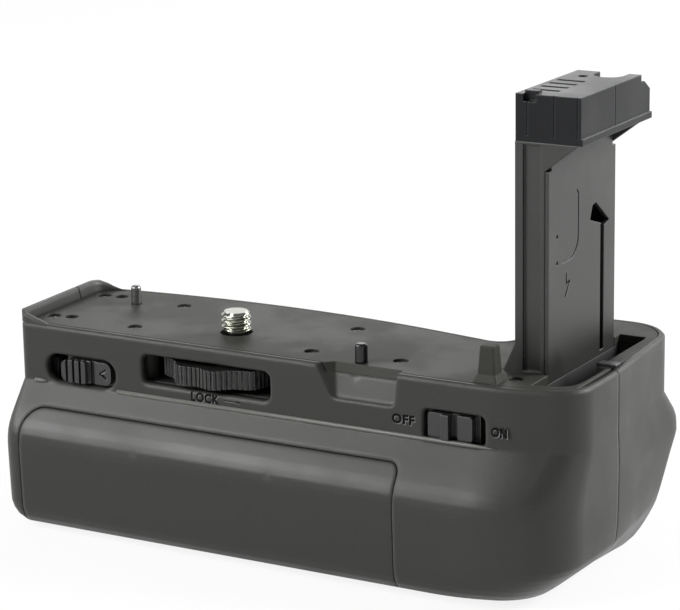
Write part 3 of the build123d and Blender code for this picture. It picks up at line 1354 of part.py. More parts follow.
def tower_cover():
    """Cover over the column's wide face with its groove, dots, catch opening and long slot."""
    left = TOWER_RIGHT - TOWER_COVER + PIN_FIT
    top = HEAD_BOTTOM - PIN_FIT
    shoulder = HEAD_BOTTOM - TOWER_WEB_DROP - PART_GAP
    front = TOWER_REAR + PART_GAP
    inner = TOWER_REAR + TOWER_WALL + PART_GAP
    outline = [
        (front, -COVER_DROP),
        (front, shoulder),
        (inner, shoulder),
        (inner, top),
        (TOWER_LENS - TOWER_WALL - PART_GAP, top),
        (TOWER_LENS - TOWER_WALL - PART_GAP, shoulder),
        (TOWER_LENS, shoulder),
        (TOWER_LENS, -COVER_DROP),
    ]
    cover = side_prism(outline, left, TOWER_RIGHT)
    cover -= side_prism(COVER_CATCH_POINTS, left - OVERRUN, TOWER_RIGHT + OVERRUN)
    cover -= block(
        left - OVERRUN, TOWER_RIGHT + OVERRUN, COVER_SLOT_REAR, COVER_SLOT_LENS, -COVER_DROP + TOWER_COVER,
        COVER_SLOT_TOP,
    )
    cover -= cover_hook_groove()
    for z in COVER_DOTS_Z:
        dot = Plane(
            origin=(TOWER_RIGHT - COVER_GROOVE_DEPTH, COVER_DOT_Y, z), x_dir=(0, 1, 0), z_dir=(1, 0, 0),
        )
        cover -= disc_on(dot, COVER_DOT_RADIUS, OVERRUN)
    return cover


def head_side(inset):
    """Outline of the head seen from its wide side, drawn in by the inset."""
    return [
        (TOWER_REAR + inset, HEAD_BOTTOM),
        (TOWER_REAR + inset, HEAD_TOP - inset),
        (HEAD_LENS_STEP_Y - inset, HEAD_TOP - inset),
        (HEAD_LENS_STEP_Y - inset / 2, HEAD_LENS_STEP_Z),
        (HEAD_LENS_BEVEL_Y - inset / 2, HEAD_LENS_STEP_Z - inset / 2),
        (HEAD_LENS - inset, HEAD_LENS_BEVEL_Z),
        (HEAD_LENS - inset, HEAD_BOTTOM),
    ]


def head_ceiling():
    """Underside of the head's top wall."""
    return HEAD_TOP - HEAD_WALL - HEAD_SCOOP_DEPTH


def tower_head():
    """Head of the tower: thin shell with a lip, terminal slots, scoop, key notch and fine lines."""
    head = side_prism(head_side(0), HEAD_LEFT, HEAD_RIGHT)
    scoop_middle = (HEAD_SCOOP_LEFT + HEAD_SCOOP_RIGHT) / 2
    scoop_radius = (HEAD_SCOOP_RIGHT - HEAD_SCOOP_LEFT) / 2
    scoop_z = HEAD_TOP - HEAD_SCOOP_DEPTH
    scoop = post(scoop_middle, HEAD_SCOOP_REAR + scoop_radius, scoop_z, HEAD_TOP + OVERRUN, scoop_radius)
    scoop += block(
        HEAD_SCOOP_LEFT, HEAD_SCOOP_RIGHT, HEAD_SCOOP_REAR + scoop_radius, HEAD_LENS + OVERRUN, scoop_z,
        HEAD_TOP + OVERRUN,
    )
    head -= scoop
    middle = (HEAD_LEFT + HEAD_RIGHT) / 2
    lip_top = HEAD_BOTTOM + HEAD_LIP_HEIGHT
    lip = block(middle, HEAD_RIGHT + HEAD_LIP, TOWER_REAR, HEAD_LENS + HEAD_LIP, HEAD_BOTTOM, lip_top)
    head += lip
    hollow = side_prism(head_side(HEAD_WALL), HEAD_LEFT + HEAD_WALL, HEAD_RIGHT - HEAD_WALL)
    deeper = hollow & block(HEAD_LEFT, HEAD_RIGHT, TOWER_REAR, HEAD_LENS, HEAD_BOTTOM, head_ceiling())
    floor = block(
        TOWER_RIGHT + PART_GAP, HEAD_RIGHT, TOWER_REAR, HEAD_LENS, HEAD_BOTTOM, HEAD_BOTTOM + HEAD_WALL,
    )
    beyond = block(
        HEAD_LEFT, HEAD_RIGHT, TOWER_LENS - TOWER_WALL, HEAD_LENS, HEAD_BOTTOM, HEAD_BOTTOM + HEAD_WALL,
    )
    head -= deeper - floor - beyond
    for index in range(TERMINAL_COUNT):
        y = TERMINAL_FIRST_Y + index * TERMINAL_PITCH
        half = TERMINAL_SLOT_WIDTH / 2
        head -= block(
            TERMINAL_SLOT_LEFT, TERMINAL_SLOT_LEFT + TERMINAL_SLOT_LENGTH, y - half, y + half,
            HEAD_BOTTOM + 2 * HEAD_WALL, HEAD_TOP + OVERRUN,
        )
    seat = HEAD_TOP - HEAD_SCREW_SINK - DECK_SCREW_HEAD_HEIGHT
    head -= post(HEAD_SCREW[0], HEAD_SCREW[1], seat, HEAD_TOP + OVERRUN, HEAD_SCREW_HOLE_RADIUS)
    head -= post(
        HEAD_SCREW[0], HEAD_SCREW[1], HEAD_BOTTOM + HEAD_LIP_HEIGHT, HEAD_TOP,
        HEAD_SCREW_SHANK_RADIUS + PIN_FIT,
    )
    head -= block(
        HEAD_NOTCH_LEFT, HEAD_NOTCH_RIGHT, TOWER_REAR - OVERRUN, TOWER_REAR + HEAD_WALL,
        HEAD_TOP - HEAD_NOTCH_DEPTH, HEAD_TOP + OVERRUN,
    )
    key = block(
        HEAD_LEFT + HEAD_WALL, HEAD_NOTCH_RIGHT, TOWER_REAR + HEAD_WALL, TOWER_REAR + 2 * HEAD_WALL,
        HEAD_TOP - HEAD_WALL, HEAD_TOP + HEAD_KEY_HEIGHT,
    )
    head += key
    half = HEAD_LINE_WIDTH / 2
    for x in HEAD_PANEL_LINES:
        head -= block(
            x - half, x + half, TOWER_REAR - OVERRUN, TOWER_REAR + HEAD_LINE_DEPTH,
            HEAD_BOTTOM + HEAD_LIP_HEIGHT, HEAD_TOP + OVERRUN,
        )
    head -= block(
        HEAD_RIGHT - HEAD_LINE_DEPTH, HEAD_RIGHT + OVERRUN, HEAD_SIDE_LINE_Y - half, HEAD_SIDE_LINE_Y + half,
        HEAD_BOTTOM + HEAD_LIP_HEIGHT, HEAD_TOP + OVERRUN,
    )
    return head


def tower_board():
    """Upright board in the column that joins the terminals to the main board."""
    left = TOWER_LEFT + TOWER_WALL + TOWER_BOARD_GAP
    rear = TOWER_REAR + TOWER_WALL + TOWER_BOARD_MARGIN
    lens = TOWER_LENS - TOWER_WALL - TOWER_BOARD_MARGIN
    top = head_ceiling() - LOOSE_GAP
    board = block(left, left + TOWER_BOARD_THICKNESS, rear, lens, board_top() + PIN_FIT, top)
    half = TOWER_TONGUE_HALF + LOOSE_GAP
    y = HEAD_SCREW[1]
    return board - block(
        left - OVERRUN, left + OVERRUN, y - half, y + half, HEAD_BOTTOM - TOWER_TONGUE_DROP - LOOSE_GAP,
        HEAD_TOP,
    )


def tower_contacts():
    """Four blades under the head's slots, each standing on the tower board."""
    blades = []
    left = TOWER_LEFT + TOWER_WALL + TOWER_BOARD_GAP + TOWER_BOARD_THICKNESS + PIN_FIT
    top = HEAD_TOP - TERMINAL_SINK
    for index in range(TERMINAL_COUNT):
        y = TERMINAL_FIRST_Y + index * TERMINAL_PITCH
        half = TERMINAL_BLADE_WIDTH / 2
        right = TERMINAL_SLOT_LEFT + TERMINAL_SLOT_LENGTH - LOOSE_GAP
        bar = block(
            TERMINAL_SLOT_LEFT + LOOSE_GAP, right, y - half, y + half, top - TERMINAL_BLADE_THICKNESS, top,
        )
        leg = block(
            left, left + TERMINAL_BLADE_THICKNESS, y - half, y + half, HEAD_BOTTOM + HEAD_LIP_HEIGHT, top,
        )
        blades.append(bar + leg)
    return Compound(children=blades)


def tower_head_screw():
    """Screw in the head's small round hole, into a block on the column's inner wall."""
    one = small_screw(
        HEAD_SCREW_HOLE_RADIUS - PART_GAP, DECK_SCREW_HEAD_HEIGHT, HEAD_SCREW_SHANK_RADIUS, HEAD_SCREW_LENGTH,
        DECK_SCREW_DRIVE_RADIUS,
    )
    return Pos(HEAD_SCREW[0], HEAD_SCREW[1], HEAD_TOP - HEAD_SCREW_SINK) * one


def tower_foot_screws():
    """Screws from below through the foot flange into the deck."""
    one = small_screw(
        BRACKET_SCREW_HEAD_RADIUS - PART_GAP, BRACKET_SCREW_HEAD, DECK_SCREW_SHANK_RADIUS, TOWER_SCREW_LENGTH,
        DECK_SCREW_DRIVE_RADIUS,
    )
    z = -DECK_THICKNESS - PIN_FIT - TOWER_FLANGE - BRACKET_SCREW_HEAD
    return Compound(
        children=[Pos(tower_foot_screw_x(), y, z) * upside_down() * one for y in tower_foot_screw_ys()]
    )


def storage_pocket():
    """Open-topped pocket under the deck for the camera's battery door."""
    top = -DECK_THICKNESS - PIN_FIT
    outer = pocket_plan(POCKET_WALL, -POCKET_DEPTH - POCKET_WALL, top)
    inner = pocket_plan(0, -POCKET_DEPTH, OVERRUN)
    return outer - inner


def door_clip():
    """Small spring clip across the deck strip beside the pocket."""
    top = CLIP_THICKNESS
    strap = block(POCKET_RIGHT - CLIP_THICKNESS, CLIP_RIGHT, CLIP_REAR, CLIP_LENS, PIN_FIT - CLIP_SEAT, top)
    leg = block(POCKET_RIGHT - CLIP_THICKNESS, POCKET_RIGHT - PIN_FIT, CLIP_REAR, CLIP_LENS, -CLIP_LEG, top)
    outer = block(CLIP_RIGHT - CLIP_THICKNESS, CLIP_RIGHT, CLIP_REAR, CLIP_LENS, -CLIP_LEG / 4, top)
    clip = strap + leg + outer
    return fillet(clip.edges().filter_by(Axis.Y).group_by(Axis.Z)[-1], CLIP_THICKNESS / 2)


def tray_bottom():
    """Underside of the tray floor."""
    return -BODY_HEIGHT + FLOOR + TRAY_LIFT


def tray_rear_y():
    """Rear face of the tray's bays."""
    return -NECK_REAR - REAR_FLARE + PANEL_WALL + TRAY_WALL + LOOSE_GAP


def tray_lens_y():
    """Lens-side end of the tray."""
    return tray_rear_y() + BATTERY_LENGTH + BATTERY_GAP + TRAY_WALL


def battery_tray():
    """Tray with two flat bays, finger cuts, contact windows and the catch for the latch."""
    half = tray_half_width()
    bottom = tray_bottom()
    top = bottom + TRAY_FLOOR + BATTERY_HEIGHT * TRAY_SIDE_SHARE
    rear = tray_rear_y() - TRAY_WALL
    lens = tray_lens_y()
    tray = block(TRAY_CENTRE_X - half, TRAY_CENTRE_X + half, rear, lens, bottom, top)
    front = block(TRAY_CENTRE_X - half, TRAY_CENTRE_X + half, rear, rear + TRAY_WALL, bottom, TRAY_FLANGE_TOP)
    tray += front
    for side in (-1, 1):
        middle = TRAY_CENTRE_X + side * (BATTERY_WIDTH + BATTERY_GAP + TRAY_WALL) / 2
        reach = (BATTERY_WIDTH + BATTERY_GAP) / 2
        tray -= block(
            middle - reach, middle + reach, tray_rear_y(), lens - TRAY_WALL, bottom + TRAY_FLOOR, OVERRUN,
        )
        window = CONTACT_BLOCK_LENGTH / 2 + LOOSE_GAP
        tray -= block(
            middle - window, middle + window, lens - TRAY_WALL - OVERRUN, lens + OVERRUN,
            bottom + TRAY_FLOOR + LOOSE_GAP, top + OVERRUN,
        )
        tray -= post(
            middle, (tray_rear_y() + lens) / 2, bottom - OVERRUN, bottom + TRAY_FLOOR + OVERRUN,
            TRAY_FINGER_RADIUS,
        )
    x0, x1 = latch_x()
    catch_rear = slider_plate_y()[1] + LATCH_THICKNESS + LATCH_HOOK
    catch_top = LATCH_FOOT - CATCH_GAP
    arm = block(x0, x1, rear, catch_rear + CATCH_GAP, catch_top - TRAY_WALL, catch_top)
    tray += arm
    for x, z in panel_screw_places():
        tray -= rod_y(x, z, rear - OVERRUN, rear + OVERRUN, PANEL_SCREW_RADIUS + PIN_FIT)
    return tray & flared_body(PANEL_WALL + PART_GAP, PANEL_WALL)


def panel_screw_places():
    """Places of the screws that hold the panel to the tray."""
    xs = (TRAY_CENTRE_X - BATTERY_WIDTH / 2, TRAY_CENTRE_X + BATTERY_WIDTH / 2)
    return [(x, PANEL_SCREW_Z) for x in xs]


def tray_panel(outer):
    """Outer panel of the tray, cut from the housing's own surface."""
    panel = (outer - flared_body(PANEL_WALL, PANEL_WALL)) & panel_region(0)
    panel = max(panel.solids(), key=lambda solid: solid.volume)
    inner = -NECK_REAR - REAR_FLARE + PANEL_WALL / 2
    seat = tray_rear_y() - TRAY_WALL
    for x, z in panel_screw_places():
        panel += rod_y(x, z, inner, seat, PANEL_SCREW_HEAD_RADIUS + PIN_BOSS_WALL)
        panel -= rod_y(x, z, seat - PANEL_SCREW_LENGTH / 2, seat + OVERRUN, PANEL_SCREW_RADIUS + PIN_FIT)
    return panel


def tray_screws():
    """Screws from inside the tray into the panel."""
    one = small_screw(
        PANEL_SCREW_HEAD_RADIUS, PANEL_SCREW_HEAD, PANEL_SCREW_RADIUS, PANEL_SCREW_LENGTH,
        DECK_SCREW_DRIVE_RADIUS,
    )
    y = tray_rear_y() + PANEL_SCREW_HEAD
    return Compound(children=[Pos(x, y, z) * Rot(-90, 0, 0) * one for x, z in panel_screw_places()])


def battery_springs():
    """Flat leaf springs on both sides of the tray's dividing wall, one for each bay."""
    springs = []
    for side in (-1, 1):
        wall = TRAY_CENTRE_X + side * (TRAY_WALL / 2 + PIN_FIT)
        y0 = tray_rear_y() + CELL_SPRING_LENGTH
        y1 = y0 + CELL_SPRING_LENGTH
        z0 = tray_bottom() + TRAY_FLOOR + LOOSE_GAP
        springs.append(
            block(
                min(wall, wall + side * CELL_SPRING_THICKNESS),
                max(wall, wall + side * CELL_SPRING_THICKNESS), y0, y1, z0, z0 + CELL_SPRING_WIDTH,
            )
        )
    return Compound(children=springs)


def bay_middles():
    """Middle of each battery bay along X."""
    return [TRAY_CENTRE_X + side * (BATTERY_WIDTH + BATTERY_GAP + TRAY_WALL) / 2 for side in (-1, 1)]


def contact_block_limits():
    """Rear and lens faces of the contact block."""
    rear = tray_lens_y() - TRAY_WALL + CONTACT_PIN_REACH
    return rear, rear + CONTACT_BLOCK_DEPTH


def bay_contact_block():
    """Bar behind the bays, standing on the floor, with a raised block for each bay's contacts."""
    rear, lens = contact_block_limits()
    foot = -BODY_HEIGHT + FLOOR + PIN_FIT
    top = tray_bottom() + TRAY_FLOOR + CONTACT_BLOCK_HEIGHT
    half = CONTACT_BLOCK_LENGTH / 2
    middles = bay_middles()
    bar = block(middles[0] - half, middles[1] + half, tray_lens_y() + LOOSE_GAP, lens + LOOSE_GAP, foot, top)
    for middle in middles:
        bar += block(
            middle - half, middle + half, rear, lens, tray_bottom() + TRAY_FLOOR + 2 * LOOSE_GAP, top,
        )
    return bar & flared_body(WALL + PIN_FIT, FLOOR + PIN_FIT)


def bay_contact_pins():
    """Sprung contact pins of both bays."""
    rear = contact_block_limits()[0]
    z = tray_bottom() + TRAY_FLOOR + BATTERY_HEIGHT / 2
    pins = []
    for middle in bay_middles():
        for index in range(CONTACT_PINS_PER_BAY):
            x = middle + (index - (CONTACT_PINS_PER_BAY - 1) / 2) * CONTACT_PIN_PITCH
            pins.append(rod_y(x, z, rear - CONTACT_PIN_REACH + LOOSE_GAP, rear - PIN_FIT, CONTACT_PIN_RADIUS))
    return Compound(children=pins)


def tripod_socket():
    """Metal tripod socket with its flange in the bottom."""
    barrel = post(SOCKET_X, SOCKET_Y, -BODY_HEIGHT, -BODY_HEIGHT + SOCKET_DEPTH, SOCKET_RADIUS)
    flange = post(SOCKET_X, SOCKET_Y, -BODY_HEIGHT, -BODY_HEIGHT + SOCKET_FLANGE, SOCKET_FLANGE_RADIUS)
    return barrel + flange - post(SOCKET_X, SOCKET_Y, -BODY_HEIGHT - OVERRUN, OVERRUN, SCREW_RADIUS)


def shutter_button():
    """Shutter button: cap with a rounded rim and the collar that keeps it in the shell."""
    cap = disc_on(button_plane(-BUTTON_LENGTH), BUTTON_RADIUS, BUTTON_LENGTH + BUTTON_RISE)
    rim = cap.faces().sort_by(Axis(cap.center(), button_plane().z_dir))[-1]
    cap = fillet(rim.edges(), BUTTON_RISE / 2)
    return cap + disc_on(button_plane(-BUTTON_LENGTH), BUTTON_COLLAR_RADIUS, BUTTON_COLLAR)


def shutter_switch():
    """Small switch under the shutter button on a disc that closes the button's tube."""
    foot = -BUTTON_LENGTH - BUTTON_STROKE - LOOSE_GAP - BUTTON_SWITCH_HEIGHT
    body = extrude(
        button_plane(foot) * Rectangle(BUTTON_SWITCH_SIZE, BUTTON_SWITCH_SIZE), BUTTON_SWITCH_HEIGHT,
    )
    return body + disc_on(
        button_plane(foot - BUTTON_SWITCH_BASE), BUTTON_TUBE_RADIUS - PIN_FIT, BUTTON_SWITCH_BASE,
    )


def jack_socket():
    """Jack socket in the lens-side wall."""
    y1 = LOWER_LEFT_LENS_Y + PART_GAP
    barrel = rod_y(JACK_X, JACK_Z, y1 - JACK_LENGTH, y1, JACK_RADIUS)
    half = JACK_BODY_WIDTH / 2
    body = block(
        JACK_X - half, JACK_X + half, y1 - JACK_LENGTH - WALL, y1 - 2 * WALL, JACK_Z - half, JACK_Z + half,
    )
    return barrel + body - rod_y(JACK_X, JACK_Z, y1 - JACK_LENGTH, y1 + OVERRUN, JACK_BORE)


def build_parts():
    """Every piece by its node name."""
    outer = outer_body()
    housing = shell_body()
    return {
        "rear_shell": rear_shell(housing),
        "front_shell": front_shell(housing),
        "deck_plate": deck_plate(),
        "deck_screws": deck_screws(),
        "locating_pin_left": locating_pin(PIN_LEFT, PIN_LEFT_RADIUS, PIN_LEFT_HEIGHT),
        "locating_pin_right": locating_pin(PIN_RIGHT, PIN_RIGHT_RADIUS, PIN_RIGHT_HEIGHT),
        "camera_screw": camera_screw(),
        "screw_retaining_ring": retaining_ring(),
        "lock_wheel": lock_wheel(),
        "wheel_bracket": wheel_bracket(),
        "bracket_screws": bracket_screws(),
        "release_slider": release_slider(),
        "release_latch": release_latch(),
        "release_spring": release_spring(),
        "power_switch_knob": power_switch_knob(),
        "power_switch_body": power_switch_body(),
        "main_board": main_board(),
        "chassis": chassis(),
        "bottom_screws": bottom_screws(),
        "tower_column": tower_column(),
        "tower_cover": tower_cover(),
        "tower_head": tower_head(),
        "tower_head_screw": tower_head_screw(),
        "tower_foot_screws": tower_foot_screws(),
        "tower_board": tower_board(),
        "tower_contacts": tower_contacts(),
        "storage_pocket": storage_pocket(),
        "door_clip": door_clip(),
        "battery_tray": battery_tray(),
        "tray_panel": tray_panel(outer),
        "tray_screws": tray_screws(),
        "battery_springs": battery_springs(),
        "bay_contact_block": bay_contact_block(),
        "bay_contact_pins": bay_contact_pins(),
        "tripod_socket": tripod_socket(),
        "shutter_button": shutter_button(),
        "shutter_switch": shutter_switch(),
        "jack_socket": jack_socket(),
    }


def main():
    """Export one STEP file for each piece."""
    os.makedirs("parts", exist_ok=True)
    for name, piece in build_parts().items():
        export_step(piece, f"parts/{name}.step")
        print(name, len(piece.solids()))


if __name__ == "__main__":
    main()
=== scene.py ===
import logging
from collections.abc import Callable, Mapping, Sequence
from dataclasses import dataclass
from enum import Enum
from math import cos, pi, radians, sin, tau

import bmesh
import bpy
from bmesh.types import BMesh, BMVert
from bpy.types import ID, Material, Mesh, Node, NodeSocket, NodeTree, Object, World
from mathutils import Matrix, Vector

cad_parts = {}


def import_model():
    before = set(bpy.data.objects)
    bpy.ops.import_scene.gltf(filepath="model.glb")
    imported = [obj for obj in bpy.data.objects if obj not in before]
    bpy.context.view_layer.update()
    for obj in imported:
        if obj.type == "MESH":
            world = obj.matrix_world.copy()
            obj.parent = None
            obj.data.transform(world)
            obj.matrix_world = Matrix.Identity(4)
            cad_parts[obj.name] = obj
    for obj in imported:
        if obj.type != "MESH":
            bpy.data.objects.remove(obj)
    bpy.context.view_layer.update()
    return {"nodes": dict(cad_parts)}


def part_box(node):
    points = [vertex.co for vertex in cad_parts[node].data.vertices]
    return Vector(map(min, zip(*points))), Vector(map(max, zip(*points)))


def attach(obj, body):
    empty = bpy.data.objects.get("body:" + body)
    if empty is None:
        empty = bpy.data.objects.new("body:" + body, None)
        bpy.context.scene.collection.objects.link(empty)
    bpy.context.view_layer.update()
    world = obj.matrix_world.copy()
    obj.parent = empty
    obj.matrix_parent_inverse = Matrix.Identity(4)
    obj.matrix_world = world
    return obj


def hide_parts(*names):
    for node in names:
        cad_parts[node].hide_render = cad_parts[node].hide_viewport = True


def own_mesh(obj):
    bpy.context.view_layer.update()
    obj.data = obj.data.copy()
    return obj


logging.basicConfig(level=logging.INFO, format="%(message)s")
LOG = logging.getLogger("grip")

MM = 0.001
Colour = tuple[float, float, float, float]
Triple = tuple[float, float, float]
Spot = tuple[float, float]
RadiusAt = Callable[[float, float], float]
Ring = tuple[float, RadiusAt]


class Body(Enum):
    """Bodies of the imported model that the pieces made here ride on."""

    HOUSING = "housing"
    WHEEL = "lock_wheel"
    RELEASE = "release"
    TRAY = "tray"


def mm(*values: float) -> Vector:
    """Point given in millimetres, as a vector in metres."""
    return Vector(values) * MM


def grey(level: float, warm: float = 0.0) -> Colour:
    """Grey, a little towards olive where asked.

    Args:
        level: linear brightness.
        warm: share by which blue lies below that level, and green a sixth of it above.

    Returns:
        The colour with full alpha.
    """
    return (level, level * (1 + warm / 6), level * (1 - warm), 1.0)


def direction(azimuth: float, elevation: float) -> Vector:
    """Way of length 1 from the object to a place round it.

    Args:
        azimuth: degrees from the rear towards the right end.
        elevation: degrees above the deck.
    """
    turn, rise = radians(azimuth), radians(elevation)
    return Vector((sin(turn) * cos(rise), -cos(turn) * cos(rise), sin(rise)))


# Shader building


class NodeSheet:
    """Small helper that adds and joins nodes in one tree."""

    def __init__(self, tree: NodeTree) -> None:
        """Work on one tree."""
        self.tree = tree

    @classmethod
    def cleared(cls, block: Material | World) -> "NodeSheet":
        """Start on the emptied tree of a material or world."""
        block.use_nodes = True
        block.node_tree.nodes.clear()
        return cls(block.node_tree)

    def add(self, kind: str, settings: dict | None = None, *values: object, **inputs: object) -> Node:
        """Add a node.

        Args:
            kind: the node's type name.
            settings: properties of the node itself.
            values: socket values, or output sockets to join, in the order of its inputs.
            inputs: the same by socket name, with spaces as underscores.

        Returns:
            The new node.
        """
        node = self.tree.nodes.new(kind)
        for name, value in (settings or {}).items():
            setattr(node, name, value)
        for index, value in enumerate(values):
            self.put(node, index, value)
        for name, value in inputs.items():
            self.put(node, name.replace("_", " "), value)
        return node

    def put(self, node: Node, socket: str | int, value: object) -> None:
        """Set a socket's value, or join an output to it."""
        target = node.inputs[socket]
        if isinstance(value, NodeSocket):
            self.tree.links.new(value, target)
        else:
            target.default_value = value

    def group(self, tree: NodeTree, **inputs: object) -> Mapping[str, NodeSocket]:
        """Add a shared group.

        Args:
            tree: the group.
            inputs: as for add.

        Returns:
            Its outputs by name.
        """
        return self.add("ShaderNodeGroup", {"node_tree": tree}, **inputs).outputs

    def place(self) -> NodeSocket:
        """Object coordinates."""
        return self.add("ShaderNodeTexCoord").outputs["Object"]

    def math(self, operation: str, *values: object, clamp: bool = False) -> NodeSocket:
        """Add a Math node.

        Args:
            operation: what it does.
            values: numbers or output sockets.
            clamp: whether the result is kept between 0 and 1.

        Returns:
            Its result.
        """
        return self.add("ShaderNodeMath", {"operation": operation, "use_clamp": clamp}, *values).outputs[0]

    def ramp(
        self, value: object, low: float, high: float, start: float = 0.0, end: float = 1.0,
    ) -> NodeSocket:
        """Smoothly map a value from one range to another.

        Args:
            value: the socket to map.
            low, high: the values that give start and end.
            start, end: what they give.

        Returns:
            The mapped value.
        """
        smooth = {"interpolation_type": "SMOOTHSTEP"}
        return self.add("ShaderNodeMapRange", smooth, value, low, high, start, end).outputs["Result"]

    def mix(self, a: object, b: object, mask: object, share: float = 1.0) -> NodeSocket:
        """Mix two colours.

        Args:
            a: the first colour.
            b: the second colour.
            mask: where the second one shows.
            share: how much of it shows there.

        Returns:
            The mixed colour.
        """
        node = self.add("ShaderNodeMix", {"data_type": "RGBA"})
        for index, value in ((0, self.math("MULTIPLY", mask, share)), (6, a), (7, b)):
            self.put(node, index, value)
        return node.outputs[2]

    def bump(self, strength: float, depth: float, height: object, **inputs: object) -> NodeSocket:
        """Add a Bump node.

        Args:
            strength: how much of it counts.
            depth: metres from the lowest to the highest place.
            height: the socket with the heights.
            inputs: as for add.

        Returns:
            The bent normal.
        """
        node = self.add("ShaderNodeBump", Strength=strength, Distance=depth, Height=height, **inputs)
        return node.outputs[0]


class EffectGroups:
    """Shader groups that several finishes share, each built once."""

    EDGE_SAMPLES = 6
    EDGE_REACH = 0.25
    GRAIN_SOFTNESS = 0.5
    FINE_TO_COARSE = 2.3
    COARSE_SHARE = 0.7
    PIT_RANGE = (0.55, 1.15)
    PATCH_ROUGHNESS = 0.55
    PATCH_RANGE = (0.35, 0.65)
    SPECKS_PER_METRE = 420.0
    SPECK_RANGE = (0.09, 0.03)

    def __init__(self) -> None:
        """Build the groups."""
        self.soft_edge = self._soft_edge()
        self.moulded_grain = self._moulded_grain()
        self.handling = self._handling()

    def _start(
        self, name: str, inputs: dict[str, float], outputs: dict[str, str],
    ) -> tuple[NodeSheet, Mapping[str, NodeSocket]]:
        """Make an empty group with its sockets.

        Args:
            name: the group's name.
            inputs: input names and their default numbers.
            outputs: output names and the last part of their socket kinds.

        Returns:
            A sheet to build in the group, and its inputs by name.
        """
        tree = bpy.data.node_groups.new(name, "ShaderNodeTree")
        for label, value in inputs.items():
            socket = tree.interface.new_socket(label, in_out="INPUT", socket_type="NodeSocketFloat")
            socket.default_value = value
        for label, kind in outputs.items():
            tree.interface.new_socket(label, in_out="OUTPUT", socket_type=f"NodeSocket{kind}")
        sheet = NodeSheet(tree)
        return sheet, sheet.add("NodeGroupInput").outputs

    def _soft_edge(self) -> NodeTree:
        """Rounded normal at the edges, and a mask of the edges themselves."""
        sheet, entry = self._start(
            "soft_edge", {"Radius": 0.0003, "Reach": self.EDGE_REACH}, {"Normal": "Vector", "Edge": "Float"},
        )
        bevel = sheet.add("ShaderNodeBevel", {"samples": self.EDGE_SAMPLES}, Radius=entry["Radius"])
        flat = sheet.add("ShaderNodeNewGeometry")
        along = {"operation": "DOT_PRODUCT"}
        dot = sheet.add("ShaderNodeVectorMath", along, bevel.outputs[0], flat.outputs["True Normal"])
        turned = sheet.math("SUBTRACT", 1.0, dot.outputs["Value"])
        edge = sheet.math("DIVIDE", turned, entry["Reach"], clamp=True)
        sheet.add("NodeGroupOutput", Normal=bevel.outputs[0], Edge=edge)
        return sheet.tree

    def _moulded_grain(self) -> NodeTree:
        """Fine leathery grain of a moulded surface: its height and its pits."""
        sheet, entry = self._start(
            "moulded_grain", {"Grains per Metre": 3000.0, "Softness": self.GRAIN_SOFTNESS},
            {"Height": "Float", "Pits": "Float"},
        )
        place = sheet.place()
        scale = entry["Grains per Metre"]
        cells = sheet.add(
            "ShaderNodeTexVoronoi", {"feature": "SMOOTH_F1"}, Vector=place, Scale=scale,
            Smoothness=entry["Softness"],
        )
        fine_scale = sheet.math("MULTIPLY", scale, self.FINE_TO_COARSE)
        fine = sheet.add("ShaderNodeTexNoise", Vector=place, Scale=fine_scale, Detail=2.0)
        height = sheet.math("MULTIPLY_ADD", cells.outputs["Distance"], self.COARSE_SHARE, fine.outputs[0])
        sheet.add("NodeGroupOutput", Height=height, Pits=sheet.ramp(height, *self.PIT_RANGE))
        return sheet.tree

    def _handling(self) -> NodeTree:
        """Slow change of shine over a handled surface, with a few fine dust specks."""
        sheet, entry = self._start(
            "handling", {"Patches per Metre": 45.0}, {"Shine": "Float", "Dust": "Float"},
        )
        place = sheet.place()
        patches = sheet.add(
            "ShaderNodeTexNoise", Vector=place, Scale=entry["Patches per Metre"], Detail=3.0,
            Roughness=self.PATCH_ROUGHNESS,
        )
        specks = sheet.add("ShaderNodeTexVoronoi", Vector=place, Scale=self.SPECKS_PER_METRE, Randomness=1.0)
        shine = sheet.ramp(patches.outputs[0], *self.PATCH_RANGE)
        dust = sheet.ramp(specks.outputs["Distance"], *self.SPECK_RANGE)
        sheet.add("NodeGroupOutput", Shine=shine, Dust=dust)
        return sheet.tree


@dataclass(frozen=True)
class Finish:
    """One surface finish. Colours are linear, lengths are in metres."""

    name: str
    colour: Colour

    def build(self, groups: EffectGroups) -> Material:
        """Make the material.

        Args:
            groups: the shared effects.

        Returns:
            The finished material.
        """
        material = bpy.data.materials.new(self.name)
        sheet = NodeSheet.cleared(material)
        sheet.add("ShaderNodeOutputMaterial", Surface=self.shade(sheet, groups).outputs[0])
        return material

    def shade(self, sheet: NodeSheet, groups: EffectGroups) -> Node:
        """Add the finish's own nodes.

        Args:
            sheet: where they go.
            groups: the shared effects.

        Returns:
            The shader that ends them.
        """
        raise NotImplementedError


